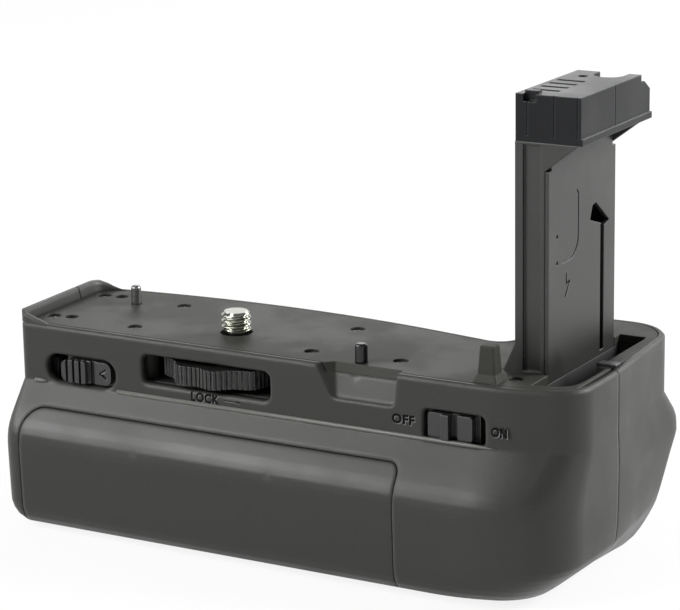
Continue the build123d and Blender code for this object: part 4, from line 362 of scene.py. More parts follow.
@dataclass(frozen=True)
class MouldedPlastic(Finish):
    """Black moulded plastic with a fine grain, edges lighter for wear and as painted highlight, and a little
    dust.

    edge is the radius of its edges, depth the grain's height and grains their number per metre.
    """

    wear_and_highlight: Colour
    roughness: float
    specular: float
    edge: float
    depth: float = 0.00001
    grains: float = 5200.0
    dust: float = 0.0
    dust_colour: Colour = grey(0.35, 0.03)
    shine_swing: float = 0.05
    pit_share: float = 0.35
    pit_level: float = 0.6
    wear_and_highlight_share: float = 0.5
    edge_polish: float = 0.06

    def shade(self, sheet: NodeSheet, groups: EffectGroups) -> Node:
        """Grain, edge wear with painted edge highlight, and dust over one colour."""
        edges = sheet.group(groups.soft_edge, Radius=self.edge)
        grain = sheet.group(groups.moulded_grain, Grains_per_Metre=self.grains)
        use = sheet.group(groups.handling)
        pitted = sheet.mix(self.colour, grey(self.colour[1] * self.pit_level), grain["Pits"], self.pit_share)
        # painted highlight and wear: edges mixed towards a lighter colour, standing both for rubbed edges
        # and for light caught by rounded edges
        wear_and_highlight = sheet.mix(pitted, self.wear_and_highlight, edges["Edge"], self.wear_and_highlight_share)
        dusty = sheet.mix(wear_and_highlight, self.dust_colour, use["Dust"], self.dust)
        low, high = self.roughness - self.shine_swing, self.roughness + self.shine_swing
        swing = sheet.ramp(use["Shine"], 0.0, 1.0, low, high)
        rough = sheet.math("MULTIPLY_ADD", edges["Edge"], -self.edge_polish, swing)
        bump = sheet.bump(1.0, self.depth, grain["Height"], Normal=edges["Normal"])
        return sheet.add(
            "ShaderNodeBsdfPrincipled", Base_Color=dusty, Roughness=rough, Normal=bump,
            Specular_IOR_Level=self.specular,
        )


@dataclass(frozen=True)
class TurnedMetal(Finish):
    """Turned or plated metal with fine tool lines along its axis.

    edge is the radius of its edges, depth the lines' height and lines their number per metre.
    """

    dull: Colour
    roughness: float
    edge: float
    depth: float = 0.00001
    lines: float = 900.0
    line_waver: float = 1.5
    patches: float = 300.0
    edge_share: float = 0.4
    roughness_range: Spot = (0.8, 1.25)
    bump_strength: float = 0.5

    def shade(self, sheet: NodeSheet, groups: EffectGroups) -> Node:
        """Tool lines and patches of two tones."""
        edges = sheet.group(groups.soft_edge, Radius=self.edge)
        use = sheet.group(groups.handling, Patches_per_Metre=self.patches)
        lines = sheet.add(
            "ShaderNodeTexWave", {"bands_direction": "Z"}, Vector=sheet.place(), Scale=self.lines,
            Distortion=self.line_waver, Detail=2.0,
        )
        tone = sheet.mix(self.colour, self.dull, use["Shine"])
        bright = sheet.mix(tone, self.colour, edges["Edge"], self.edge_share)
        low, high = (self.roughness * share for share in self.roughness_range)
        rough = sheet.ramp(use["Shine"], 0.0, 1.0, low, high)
        bump = sheet.bump(self.bump_strength, self.depth, lines.outputs["Fac"], Normal=edges["Normal"])
        return sheet.add(
            "ShaderNodeBsdfPrincipled", Base_Color=bright, Roughness=rough, Metallic=1.0, Normal=bump,
        )


@dataclass(frozen=True)
class EngravingShadeAndHighlight(Finish):
    """Painted shade for the floor or painted highlight for the lip of an engraved mark, fine-grained and a
    little uneven.
    """

    thin: Colour
    specular: float
    roughness: float = 0.6
    grains: float = 4200.0
    depth: float = 0.00002
    bump_strength: float = 0.6

    def shade(self, sheet: NodeSheet, groups: EffectGroups) -> Node:
        """Two tones in a fine grain."""
        grain = sheet.group(groups.moulded_grain, Grains_per_Metre=self.grains)
        bump = sheet.bump(self.bump_strength, self.depth, grain["Height"])
        return sheet.add(
            "ShaderNodeBsdfPrincipled", Base_Color=sheet.mix(self.colour, self.thin, grain["Pits"]),
            Roughness=self.roughness, Normal=bump, Specular_IOR_Level=self.specular,
        )


@dataclass(frozen=True)
class BoardLacquer(Finish):
    """Green lacquer over a circuit board, darkened as painted shade where it shows through the tower's slot,
    with faint tracks.
    """

    track: Colour
    cells: float = 260.0
    track_range: Spot = (0.28, 0.22)
    track_share: float = 0.6
    depth: float = 0.00004
    bump_strength: float = 0.4
    dust: float = 0.3
    dust_colour: Colour = grey(0.3)
    roughness: float = 0.3

    def shade(self, sheet: NodeSheet, groups: EffectGroups) -> Node:
        """Tracks under lacquer with some dust."""
        cells = sheet.add(
            "ShaderNodeTexVoronoi", {"distance": "CHEBYCHEV"}, Vector=sheet.place(), Scale=self.cells,
        )
        track = sheet.ramp(cells.outputs["Distance"], *self.track_range)
        tone = sheet.mix(self.colour, self.track, track, self.track_share)
        dusty = sheet.mix(tone, self.dust_colour, sheet.group(groups.handling)["Dust"], self.dust)
        bump = sheet.bump(self.bump_strength, self.depth, track)
        return sheet.add(
            "ShaderNodeBsdfPrincipled", Base_Color=dusty, Roughness=self.roughness, Normal=bump,
        )


class Finishes:
    """All finishes of the grip, built once."""

    # the housing's lighter edge colour also paints highlights on the lips of its openings
    HOUSING = MouldedPlastic(
        "housing_black", grey(0.025, 0.08), grey(0.085, 0.06), roughness=0.37, specular=0.28,
        edge=0.0012, depth=0.000016, grains=4200.0, dust=0.05,
    )
    DECK = MouldedPlastic(
        "deck_black", grey(0.028, 0.14), grey(0.085, 0.10), roughness=0.48, specular=0.13,
        edge=0.0004, depth=0.00002, grains=4600.0, dust=0.06,
    )
    TOWER = MouldedPlastic(
        "tower_black", grey(0.021, 0.06), grey(0.075, 0.05), roughness=0.38, specular=0.46,
        edge=0.00035, depth=0.000012, dust=0.03,
    )
    HEAD = MouldedPlastic(
        "head_black", (0.0045, 0.005, 0.006, 1.0), (0.06, 0.062, 0.068, 1.0), roughness=0.34,
        specular=0.22, edge=0.00035,
    )
    CONTROL = MouldedPlastic(
        "control_black", grey(0.018), grey(0.10), roughness=0.34, specular=0.5, edge=0.0002, depth=0.000015,
    )
    # painted highlight: the ribs' edges are mixed towards a near-white grey so they read as lit edges
    WHEEL = MouldedPlastic(
        "wheel_black", grey(0.014, 0.02), grey(0.6, 0.02), roughness=0.27, specular=0.35, edge=0.0001,
    )
    # painted highlight: the pin's edges are mixed towards a much lighter grey for its bright rim
    PIN = MouldedPlastic(
        "pin_black", grey(0.008), grey(0.2), roughness=0.2, specular=0.4, edge=0.00025, depth=0.000006,
    )
    # painted highlight: the ridge bead is coloured about three times lighter than the housing so the ridge
    # reads as a bright line
    RIDGE_HIGHLIGHT = MouldedPlastic(
        "ridge_black", grey(0.08, 0.08), grey(0.12, 0.06), roughness=0.37, specular=0.4,
        edge=0.00005, depth=0.000016, grains=4200.0,
    )
    INNER = MouldedPlastic(
        "inner_black", grey(0.022), grey(0.04), roughness=0.6, specular=0.3,
        edge=0.0003, depth=0.00003, grains=3600.0,
    )
    BRIGHT = TurnedMetal("bright_steel", grey(0.47, 0.10), grey(0.32, 0.14), roughness=0.15, edge=0.00012)
    DARK_STEEL = TurnedMetal("black_steel", grey(0.24), grey(0.14), roughness=0.36, edge=0.00015)
    GILT = TurnedMetal(
        "gilt_contact", (0.83, 0.62, 0.30, 1.0), (0.70, 0.50, 0.22, 1.0), roughness=0.25,
        edge=0.00008, depth=0.000006, lines=1500.0,
    )
    # painted shade: near-black sheet standing for the shade inside an engraved recess
    RECESS_SHADE = EngravingShadeAndHighlight("engraved_dark", grey(0.003), grey(0.006), specular=0.05)
    # painted highlight: light sheet shifted to the lower right, standing for light on the recess's lower lip
    LIP_HIGHLIGHT = EngravingShadeAndHighlight("engraved_lip", grey(0.15, 0.01), grey(0.10, 0.01), specular=0.3)
    # painted shade: the lacquer is darkened near to black so the board reads as shade inside the tower's
    # slot
    BOARD = BoardLacquer("board_lacquer", (0.004, 0.012, 0.007, 1.0), (0.012, 0.03, 0.018, 1.0))

    made: dict[Finish, Material] = {}

    @classmethod
    def build(cls) -> None:
        """Build every material, in the order above."""
        groups = EffectGroups()
        for finish in [value for value in vars(cls).values() if isinstance(value, Finish)]:
            cls.made[finish] = finish.build(groups)


# Pieces


def placed(name: str, data: ID) -> Object:
    """New object in the scene with this mesh, text, light or camera."""
    thing = bpy.data.objects.new(name, data)
    bpy.context.scene.collection.objects.link(thing)
    return thing


def new_piece(name: str, mesh: Mesh, body: Body, finish: Finish) -> Object:
    """Put a mesh into the scene as a finished piece.

    Args:
        name: the piece's name.
        mesh: its mesh, already in place.
        body: the body it rides on.
        finish: what it is dressed in.

    Returns:
        The new object.
    """
    piece = placed(name, mesh)
    mesh.materials.clear()
    mesh.materials.append(Finishes.made[finish])
    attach(piece, body.value)
    LOG.info("piece %s on %s: %d faces", name, body.value, len(mesh.polygons))
    return piece


def finished(sheet: BMesh, name: str) -> Mesh:
    """Plain mesh of one under construction, which is freed here."""
    mesh = bpy.data.meshes.new(name)
    sheet.to_mesh(mesh)
    sheet.free()
    return mesh


def circle(sheet: BMesh, sides: int, at: Callable[[float], Vector]) -> list[BMVert]:
    """Points of one closed loop, each from its angle."""
    return [sheet.verts.new(at(tau * step / sides)) for step in range(sides)]


def skin(sheet: BMesh, loops: Sequence[Sequence[BMVert]], inward: bool = False) -> None:
    """Join each loop to the next one by quads.

    Args:
        sheet: mesh under construction.
        loops: loops of as many points each.
        inward: whether the faces look the other way.
    """
    for upper, lower in zip(loops, loops[1:]):
        for step in range(len(upper)):
            after = (step + 1) % len(upper)
            corners = (upper[step], lower[step], lower[after], upper[after])
            sheet.faces.new(tuple(reversed(corners)) if inward else corners)


def even_rings(profile: Sequence[Spot]) -> list[Ring]:
    """Plain round rings from pairs of height and radius."""
    return [(z, lambda turn, z, radius=radius: radius) for z, radius in profile]


def stack(sheet: BMesh, rings: Sequence[Ring], sides: int, inward: bool = False) -> list[list[BMVert]]:
    """Add rings round the Z axis and the quads between them.

    Args:
        sheet: mesh under construction.
        rings: height and radius function of each ring, from the top down, in millimetres.
        sides: points on each ring.
        inward: whether the faces look towards the axis.

    Returns:
        The points of each ring.
    """
    loops = [
        circle(sheet, sides, lambda turn: mm(at(turn, z) * cos(turn), at(turn, z) * sin(turn), z))
        for z, at in rings
    ]
    skin(sheet, loops, inward)
    return loops


@dataclass(frozen=True)
class CarriedNodes:
    """CAD nodes that keep their shape and get their finish here."""

    finished_in: tuple[tuple[Finish, tuple[str, ...]], ...] = (
        (Finishes.HOUSING, ("rear_shell", "front_shell", "tray_panel")),
        (Finishes.DECK, ("deck_plate",)),
        (Finishes.CONTROL, ("shutter_button", "door_clip", "release_slider", "power_switch_knob")),
        (Finishes.WHEEL, ("lock_wheel",)),
        (Finishes.TOWER, ("tower_column", "tower_cover")),
        (Finishes.HEAD, ("tower_head",)),
        (Finishes.PIN, ("locating_pin_right",)),
        (Finishes.INNER, (
            "storage_pocket", "chassis", "wheel_bracket", "release_latch", "power_switch_body",
            "bay_contact_block", "battery_tray", "shutter_switch", "jack_socket",
        )),
        (Finishes.BOARD, ("tower_board", "main_board")),
        (Finishes.GILT, ("tower_contacts", "bay_contact_pins")),
        (Finishes.BRIGHT, (
            "battery_springs", "tripod_socket", "camera_screw", "screw_retaining_ring", "release_spring",
        )),
        (Finishes.DARK_STEEL, (
            "locating_pin_left", "deck_screws", "bracket_screws", "bottom_screws", "tower_head_screw",
            "tower_foot_screws", "tray_screws",
        )),
    )

    def build(self, nodes: dict[str, Object]) -> None:
        """Give each node its finish.

        Args:
            nodes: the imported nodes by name.
        """
        finish_of = {name: finish for finish, names in self.finished_in for name in names}
        for name, node in nodes.items():
            material = Finishes.made[finish_of[name]]
            for slot in node.material_slots:
                slot.material = material
            LOG.info("node %s gets %s", name, material.name)


class Facing(Enum):
    """Way a screw head looks, as the turn of a screw that points down."""

    UP = (0.0, 0.0, 0.0)
    DOWN = (pi, 0.0, 0.0)
    LENS = (-pi / 2, 0.0, 0.0)


@dataclass(frozen=True)
class ScrewShape:
    """Sizes of one kind of small pan-head screw, in millimetres."""

    head_radius: float
    head_height: float
    shank_radius: float
    length: float
    cross_radius: float
    sides: int = 40
    crown_share: float = 0.45
    crown_steps: int = 4
    flat_share: float = 0.62
    flat_sink: float = 0.02
    half_pitch: float = 0.3
    groove_share: float = 0.82
    point_share: float = 0.7
    cross_slimness: float = 0.2
    cross_taper: float = 0.7
    cross_depth_share: float = 0.7

    def outline(self) -> list[Spot]:
        """Height and radius of each ring below the head's flat, from the top down."""
        crown = self.head_height * self.crown_share
        rings = [(-self.flat_sink, self.head_radius * self.flat_share)]
        for step in range(1, self.crown_steps + 1):
            turn = radians(90 / self.crown_steps * step)
            rings.append((-crown * (1 - cos(turn)), self.head_radius - crown * (1 - sin(turn))))
        rings += [(-self.head_height, self.head_radius), (-self.head_height, self.shank_radius)]
        for step in range(1, int((self.length - self.head_height) / self.half_pitch)):
            share = self.groove_share if step % 2 == 0 else 1.0
            rings.append((-self.head_height - step * self.half_pitch, self.shank_radius * share))
        return rings + [(-self.length, self.shank_radius * self.point_share)]

    def cross(self, z: float, shrink: float) -> list[Vector]:
        """Twelve corners of the cross recess at one depth, at a share of its full size."""
        arm = self.cross_radius * shrink
        half = self.cross_radius * self.cross_slimness * shrink
        corners = []
        for turn in range(4):
            c, s = cos(pi / 2 * turn), sin(pi / 2 * turn)
            corners += [
                mm(x * c - y * s, x * s + y * c, z) for x, y in ((arm, -half), (arm, half), (half, half))
            ]
        return corners

    def mesh(self) -> Mesh:
        """Screw pointing down, the top of its head at the origin."""
        sheet = bmesh.new()
        rings = stack(sheet, even_rings(self.outline()), self.sides)
        sheet.faces.new(list(reversed(rings[-1])))
        depth = self.head_height * self.cross_depth_share
        mouth = [sheet.verts.new(p) for p in self.cross(-self.flat_sink, 1.0)]
        floor = [sheet.verts.new(p) for p in self.cross(-depth, self.cross_taper)]
        rims = []
        for loop in (rings[0], mouth):
            pairs = zip(loop, loop[1:] + loop[:1])
            rims += [sheet.edges.get(pair) or sheet.edges.new(pair) for pair in pairs]
        bmesh.ops.triangle_fill(sheet, use_beauty=True, edges=rims)
        skin(sheet, (mouth, floor))
        sheet.faces.new(floor)
        bmesh.ops.recalc_face_normals(sheet, faces=sheet.faces)
        return finished(sheet, "screw")


class ScatterTree:
    """Geometry Nodes tree that puts one screw on every point, each turned by chance."""

    SOCKETS: dict[str, str] = {
        "Places": "Geometry", "Screw": "Object", "Facing": "Vector", "Drive Turn": "Float", "Seed": "Int",
        "Finish": "Material",
    }

    def __init__(self) -> None:
        """Build the tree once."""
        tree = bpy.data.node_groups.new("screw_scatter", "GeometryNodeTree")
        self.keys = {}
        for label, kind in self.SOCKETS.items():
            socket = tree.interface.new_socket(label, in_out="INPUT", socket_type=f"NodeSocket{kind}")
            self.keys[label] = socket.identifier
        tree.interface.new_socket("Screws", in_out="OUTPUT", socket_type="NodeSocketGeometry")
        sheet = NodeSheet(tree)
        entry = sheet.add("NodeGroupInput").outputs
        screw = sheet.add("GeometryNodeObjectInfo", Object=entry["Screw"], As_Instance=True)
        chance = sheet.add("FunctionNodeRandomValue", {"data_type": "FLOAT"}, Seed=entry["Seed"])
        sheet.put(chance, 2, 0.0)
        sheet.put(chance, 3, entry["Drive Turn"])
        spin = sheet.add("ShaderNodeCombineXYZ", Z=chance.outputs[1])
        scatter = sheet.add(
            "GeometryNodeInstanceOnPoints", Points=entry["Places"], Instance=screw.outputs["Geometry"],
            Rotation=entry["Facing"],
        )
        turned = sheet.add(
            "GeometryNodeRotateInstances", Instances=scatter.outputs[0], Rotation=spin.outputs[0],
            Local_Space=True,
        )
        real = sheet.add("GeometryNodeRealizeInstances", Geometry=turned.outputs[0])
        dressed = sheet.add("GeometryNodeSetMaterial", Geometry=real.outputs[0], Material=entry["Finish"])
        sheet.add("NodeGroupOutput", Screws=dressed.outputs[0])
        self.tree = tree

    def run(
        self, places: Sequence[Vector], screw: Mesh, facing: Facing, seed: int, finish: Material,
    ) -> Mesh:
        """Evaluate the tree for one set of screws.

        Args:
            places: the middle of each head's top.
            screw: mesh of one screw.
            facing: the way the heads look.
            seed: fixed number for the turns of the cross recesses.
            finish: the screws' material.

        Returns:
            One plain mesh with all screws of the set.
        """
        points = bpy.data.meshes.new("screw_places")
        points.from_pydata([tuple(p) for p in places], [], [])
        carrier, model = placed("screw_places", points), placed("screw_model", screw)
        modifier = carrier.modifiers.new("scatter", "NODES")
        modifier.node_group = self.tree
        values = {
            "Screw": model, "Facing": facing.value, "Drive Turn": pi, "Seed": seed, "Finish": finish,
        }
        for label, value in values.items():
            modifier[self.keys[label]] = value
        bpy.context.view_layer.update()
        seen = carrier.evaluated_get(bpy.context.evaluated_depsgraph_get())
        mesh = bpy.data.meshes.new_from_object(seen)
        carrier.modifiers.remove(modifier)
        for one in (carrier, model):
            bpy.data.objects.remove(one)
        return mesh


@dataclass(frozen=True)
class ScrewSets:
    """Every set of small screws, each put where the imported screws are."""

    kinds: tuple[tuple[str, ScrewShape, Facing, Body], ...] = (
        ("deck_screws", ScrewShape(1.5, 0.8, 0.8, 7.0, 0.95), Facing.UP, Body.HOUSING),
        ("tower_head_screw", ScrewShape(0.9, 0.8, 0.6, 4.5, 0.6), Facing.UP, Body.HOUSING),
        ("bottom_screws", ScrewShape(2.1, 1.2, 1.1, 8.0, 1.35), Facing.DOWN, Body.HOUSING),
        ("bracket_screws", ScrewShape(1.8, 1.1, 0.9, 5.0, 1.15), Facing.DOWN, Body.HOUSING),
        ("tray_screws", ScrewShape(1.8, 1.0, 0.9, 3.4, 1.15), Facing.LENS, Body.TRAY),
    )
    reach: float = 4.5
    first_seed: int = 3

    def places(self, node: Object, facing: Facing) -> list[Vector]:
        """Middle of each head's top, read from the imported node.

        Args:
            node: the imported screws.
            facing: the way their heads look.

        Returns:
            One place for each screw.
        """
        along = 1 if facing is Facing.LENS else 2
        across = [axis for axis in range(3) if axis != along]
        groups: list[list[Vector]] = []
        for vertex in node.data.vertices:
            spot = vertex.co.copy()
            for group in groups:
                if all(abs(group[0][axis] - spot[axis]) < self.reach * MM for axis in across):
                    group.append(spot)
                    break
            else:
                groups.append([spot])
        found = []
        for group in groups:
            low = [min(p[axis] for p in group) for axis in range(3)]
            high = [max(p[axis] for p in group) for axis in range(3)]
            place = [(low[axis] + high[axis]) / 2 for axis in range(3)]
            place[along] = low[along] if facing is Facing.DOWN else high[along]
            found.append(Vector(place))
        return found

    def build(self, nodes: dict[str, Object]) -> None:
        """Replace each packed set by screws with threads and cross recesses.

        Args:
            nodes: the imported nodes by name.
        """
        scatter = ScatterTree()
        steel = Finishes.DARK_STEEL
        for seed, (name, shape, facing, body) in enumerate(self.kinds, start=self.first_seed):
            places = self.places(nodes[name], facing)
            mesh = scatter.run(places, shape.mesh(), facing, seed, Finishes.made[steel])
            piece = new_piece(f"{name}_cross", mesh, body, steel)
            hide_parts(name)


@dataclass(frozen=True)
class ThreadForm:
    """Quarter-inch tripod thread, in millimetres."""

    radius: float = 3.175
    pitch: float = 1.27
    depth: float = 0.62
    flat: float = 0.14

    def radius_at(self, turn: float, z: float) -> float:
        """Radius of the thread's surface at one angle and height."""
        phase = (z / self.pitch - turn / tau) % 1.0
        rise = abs(2 * phase - 1)
        share = min(max((rise - self.flat) / (1 - 2 * self.flat), 0.0), 1.0)
        return self.radius - self.depth * share

    def rings(self, top: float, bottom: float, steps_per_turn: int, at: RadiusAt) -> list[Ring]:
        """Close rings along the thread.

        Args:
            top, bottom: heights of the first and the last ring.
            steps_per_turn: rings in one pitch.
            at: the radius function that they get.

        Returns:
            Height and radius function of each ring.
        """
        count = int((top - bottom) / self.pitch * steps_per_turn)
        return [(top - (top - bottom) * step / count, at) for step in range(count + 1)]


@dataclass(frozen=True)
class CameraScrew:
    """The bright captive screw with its real thread, flange, square drive and journal.

    Sizes in millimetres. Its tip lies below the solid's, as in the photograph.
    """

    thread: ThreadForm = ThreadForm()
    tip_bevel: float = 0.65
    tip_short: float = 0.7
    relief_radius: float = 2.35
    thread_from: float = 0.7
    flange_radius: float = 5.2
    flange_bevel: float = 0.15
    flange_top: float = -2.3
    flange_bottom: float = -3.5
    drive_half: float = 3.5
    drive_bottom: float = -8.5
    journal_radius: float = 2.0
    journal_bevel: float = 0.2
    steps_per_turn: int = 14
    sides: int = 96

    def thread_radius(self, top: float) -> RadiusAt:
        """Radius function of the thread with its bevelled tip, which ends at top."""
        def radius(turn: float, z: float) -> float:
            return min(self.thread.radius_at(turn, z), self.thread.radius - self.tip_bevel + (top - z))
        return radius

    def drive_radius(self, turn: float, z: float) -> float:
        """Radius of the square drive at one angle, the same at every height."""
        return self.drive_half / max(abs(cos(turn)), abs(sin(turn)))

    def build(self) -> None:
        """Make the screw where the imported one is."""
        low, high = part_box("camera_screw")
        top, bottom = high[2] / MM - self.tip_short, low[2] / MM
        flange, journal = self.flange_radius, self.journal_radius
        rings = self.thread.rings(top, self.thread_from, self.steps_per_turn, self.thread_radius(top))
        rings += even_rings((
            (self.thread_from, self.relief_radius), (self.flange_top, self.relief_radius),
            (self.flange_top, flange - self.flange_bevel), (self.flange_top - self.flange_bevel, flange),
            (self.flange_bottom, flange),
        ))
        rings += [(z, self.drive_radius) for z in (self.flange_bottom, self.drive_bottom)]
        rings += even_rings((
            (self.drive_bottom, journal), (bottom + self.journal_bevel, journal),
            (bottom, journal - self.journal_bevel),
        ))
        sheet = bmesh.new()
        loops = stack(sheet, rings, self.sides)
        sheet.faces.new(loops[0])
        sheet.faces.new(list(reversed(loops[-1])))
        mesh = finished(sheet, "camera_screw_thread")
        piece = new_piece("camera_screw_thread", mesh, Body.WHEEL, Finishes.BRIGHT)
        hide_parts("camera_screw")


@dataclass(frozen=True)
class TripodThread:
    """Thread ridges inside the tripod socket under the grip, in millimetres."""

    thread: ThreadForm = ThreadForm(radius=3.15, depth=0.35)
    floor_gap: float = 1.5
    mouth_gap: float = 0.3
    steps_per_turn: int = 12
    sides: int = 72

    def build(self) -> None:
        """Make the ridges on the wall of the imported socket's hole."""
        low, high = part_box("tripod_socket")
        middle = (low + high) / 2
        top, bottom = high[2] / MM - self.floor_gap, low[2] / MM + self.mouth_gap
        rings = self.thread.rings(top, bottom, self.steps_per_turn, self.thread.radius_at)
        sheet = bmesh.new()
        stack(sheet, rings, self.sides, inward=True)
        mesh = finished(sheet, "tripod_thread")
        mesh.transform(Matrix.Translation((middle[0], middle[1], 0.0)))
        new_piece("tripod_thread_ridges", mesh, Body.HOUSING, Finishes.BRIGHT)


@dataclass(frozen=True)
class RidgeBead:
    """Soft bead where the neck meets the flare, broken by the slider's opening, in a lighter finish that
    paints a highlight along the ridge.

    Sizes in millimetres.
    """

    y: float = -13.42
    z: float = -12.55
    radius: float = 0.5
    sides: int = 14
    taper: float = 7.0
    taper_steps: int = 6
    taper_share: float = 0.9
    runs: tuple[Spot, ...] = ((-43.2, -39.9), (-21.9, 68.0))

    def build(self) -> None:
        """Make the bead."""
        sheet = bmesh.new()
        for start, end in self.runs:
            self.tube(sheet, start, end)
        mesh = finished(sheet, "ridge_bead")
        for face in mesh.polygons:
            face.use_smooth = len(face.vertices) == 4
        new_piece("ridge_bead", mesh, Body.HOUSING, Finishes.RIDGE_HIGHLIGHT)

    def tube(self, sheet: BMesh, start: float, end: float) -> None:
        """Add one closed run, drawn in to a tenth of its width at its right end.

        Args:
            sheet: mesh under construction.
            start: left end.
            end: right end.
        """
        soft = min(self.taper, (end - start) / 2)
        stations = [(start, 1.0), (end - soft, 1.0)]
        for step in range(1, self.taper_steps + 1):
            part = step / self.taper_steps
            stations.append((end - soft * (1 - part), 1 - self.taper_share * part ** 2))
        loops = [
            circle(sheet, self.sides, lambda turn: mm(
                x, self.y + self.radius * share * cos(turn), self.z + self.radius * share * sin(turn),
            ))
            for x, share in stations
        ]
        skin(sheet, loops)
        sheet.faces.new(list(reversed(loops[0])))
        sheet.faces.new(loops[-1])
        bmesh.ops.recalc_face_normals(sheet, faces=list(sheet.faces))


@dataclass(frozen=True)
class ReleaseSpring:
    """The release slider's spring."""

    node: str = "release_spring"
    joint: str = "release_slide"
    stroke_mm: float = 3.8

    def build(self, nodes: dict[str, Object]) -> None:
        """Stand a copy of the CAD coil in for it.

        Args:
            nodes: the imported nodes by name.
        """
        mesh = nodes[self.node].data.copy()
        mesh.name = "release_spring_coil"
        piece = new_piece(mesh.name, mesh, Body.HOUSING, Finishes.BRIGHT)
        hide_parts(self.node)
        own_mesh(piece)


@dataclass(frozen=True)
class Face:
    """Flat face that carries marks: where it lies, and whether it looks to the right end."""

    level: float
    sideways: bool = False

    def at(self, along: float, up: float, off: float) -> Vector:
        """Point in metres, from millimetres along the face, up it and off it."""
        return mm(self.level + off, along, up) if self.sideways else mm(along, self.level - off, up)


REAR_FACE = Face(-13.4)


@dataclass(frozen=True)
class Mark:
    """One engraved sign: strokes of one width on a face, in millimetres."""

    name: str
    body: Body
    slot: str
    face: Face
    width: float
    strokes: tuple[tuple[Spot, Spot], ...]


@dataclass(frozen=True)
class Word:
    """One engraved word: its middle in millimetres, and shares of the usual letter height and width."""

    text: str
    x: float
    z: float
    size: float
    squeeze: float


@dataclass(frozen=True)
class Engravings:
    """Words, arrow and signs engraved in the flat faces, each a dark floor of painted shade with a lower lip
    of painted highlight.

    Sizes in millimetres.
    """

    lift: float = 0.03
    root: float = -0.01
    # how far the lip's painted highlight sits to the lower right of the painted-shade floor
    lip_shift: float = 0.15
    boldness: float = 0.13
    height: float = 1.95
    capital_share: float = 0.7
    letter_space: float = 1.12
    stroke_overrun: float = 0.6
    words: tuple[Word, ...] = (
        Word("LOCK", 0.1, -11.12, 0.95, 0.9),
        Word("OFF", 47.25, -9.25, 0.94, 1.04),
        Word("ON", 68.75, -9.15, 0.9, 0.86),
    )
    marks: tuple[Mark, ...] = (
        Mark("arrow", Body.HOUSING, "black_plastic", REAR_FACE, 0.14, (
            ((4.9, -10.95), (8.7, -10.95)), ((8.0, -10.67), (8.7, -10.95)), ((8.0, -11.23), (8.7, -10.95)),
        )),
        Mark("bolt", Body.HOUSING, "tower_black", Face(73.1, sideways=True), 0.42, (
            ((8.05, 18.9), (8.07, 17.0)), ((9.5, 17.2), (8.07, 17.0)), ((9.5, 17.2), (7.6, 14.4)),
        )),
        Mark("pointer", Body.RELEASE, "black_plastic", Face(-12.9), 0.36, (
            ((-25.1, -8.35), (-26.6, -9.3)), ((-26.6, -9.3), (-25.1, -10.35)),
        )),
    )

    def build(self) -> None:
        """Make every mark."""
        for word in self.words:
            for finish, label, shift, lift in self.layers():
                mesh = self.letters(word, shift, lift)
                new_piece(f"{label}_{word.text.lower()}", mesh, Body.HOUSING, finish)
        for mark in self.marks:
            for finish, label, shift, lift in self.layers():
                mesh = self.bars(mark, shift, lift)
                new_piece(f"{label}_{mark.name}", mesh, mark.body, finish)

    def layers(self) -> tuple[tuple[Finish, str, float, float], ...]:
        """Finish, name, shift and lift of the two layers of a mark: the lip's painted highlight and the
        floor's painted shade.
        """
        return ((Finishes.LIP_HIGHLIGHT, "lip", self.lip_shift, self.lift / 2), (Finishes.RECESS_SHADE, "mark", 0.0, self.lift))

    def bars(self, mark: Mark, shift: float, lift: float) -> Mesh:
        """Mesh of a mark's strokes: thin bars a hair above the face.

        Args:
            mark: the drawing.
            shift: how far the layer is moved to the lower right.
            lift: how far it stands off the face.

        Returns:
            The bars as one mesh.
        """
        sheet = bmesh.new()
        half = mark.width / 2
        for start, stop in mark.strokes:
            near, far = Vector(start), Vector(stop)
            run = (far - near).normalized() * half
            side = Vector((-run.y, run.x))
            near, far = near - run * self.stroke_overrun, far + run * self.stroke_overrun
            corners = (near - side, far - side, far + side, near + side)
            lower, upper = (
                [sheet.verts.new(mark.face.at(u + shift, v - shift, off)) for u, v in corners]
                for off in (self.root, lift)
            )
            sheet.faces.new(lower)
            sheet.faces.new(upper)
            skin(sheet, (lower, upper))
        bmesh.ops.recalc_face_normals(sheet, faces=sheet.faces)
        return finished(sheet, mark.name)

    def letters(self, word: Word, shift: float, lift: float) -> Mesh:
        """Mesh of one word, centred on its place.

        Args:
            word: the letters and their place.
            shift: how far the layer is moved to the lower right.
            lift: how far the letters stand off the face.

        Returns:
            The word's mesh, lying just off the face.
        """
        curve = bpy.data.curves.new(f"word_{word.text}", "FONT")
        curve.body = word.text
        curve.align_x = "CENTER"
        curve.align_y = "CENTER"
        curve.size = self.height * word.size * MM / self.capital_share
        curve.space_character = self.letter_space
        curve.extrude = lift * MM
        curve.offset = self.boldness * MM
        holder = placed(f"word_{word.text}", curve)
        mesh = bpy.data.meshes.new_from_object(holder)
        turn = Matrix.Rotation(radians(90), 4, "X") @ Matrix.Diagonal((word.squeeze, 1.0, 1.0, 1.0))
        mesh.transform(Matrix.Translation(REAR_FACE.at(word.x + shift, word.z - shift, 0.0)) @ turn)
        bpy.data.objects.remove(holder)
        return mesh


@dataclass(frozen=True)
class Lamp:
    """One square soft lamp: where it hangs round the object, in degrees, and its power in watts."""

    name: str
    azimuth: float
    elevation: float
    watts: float


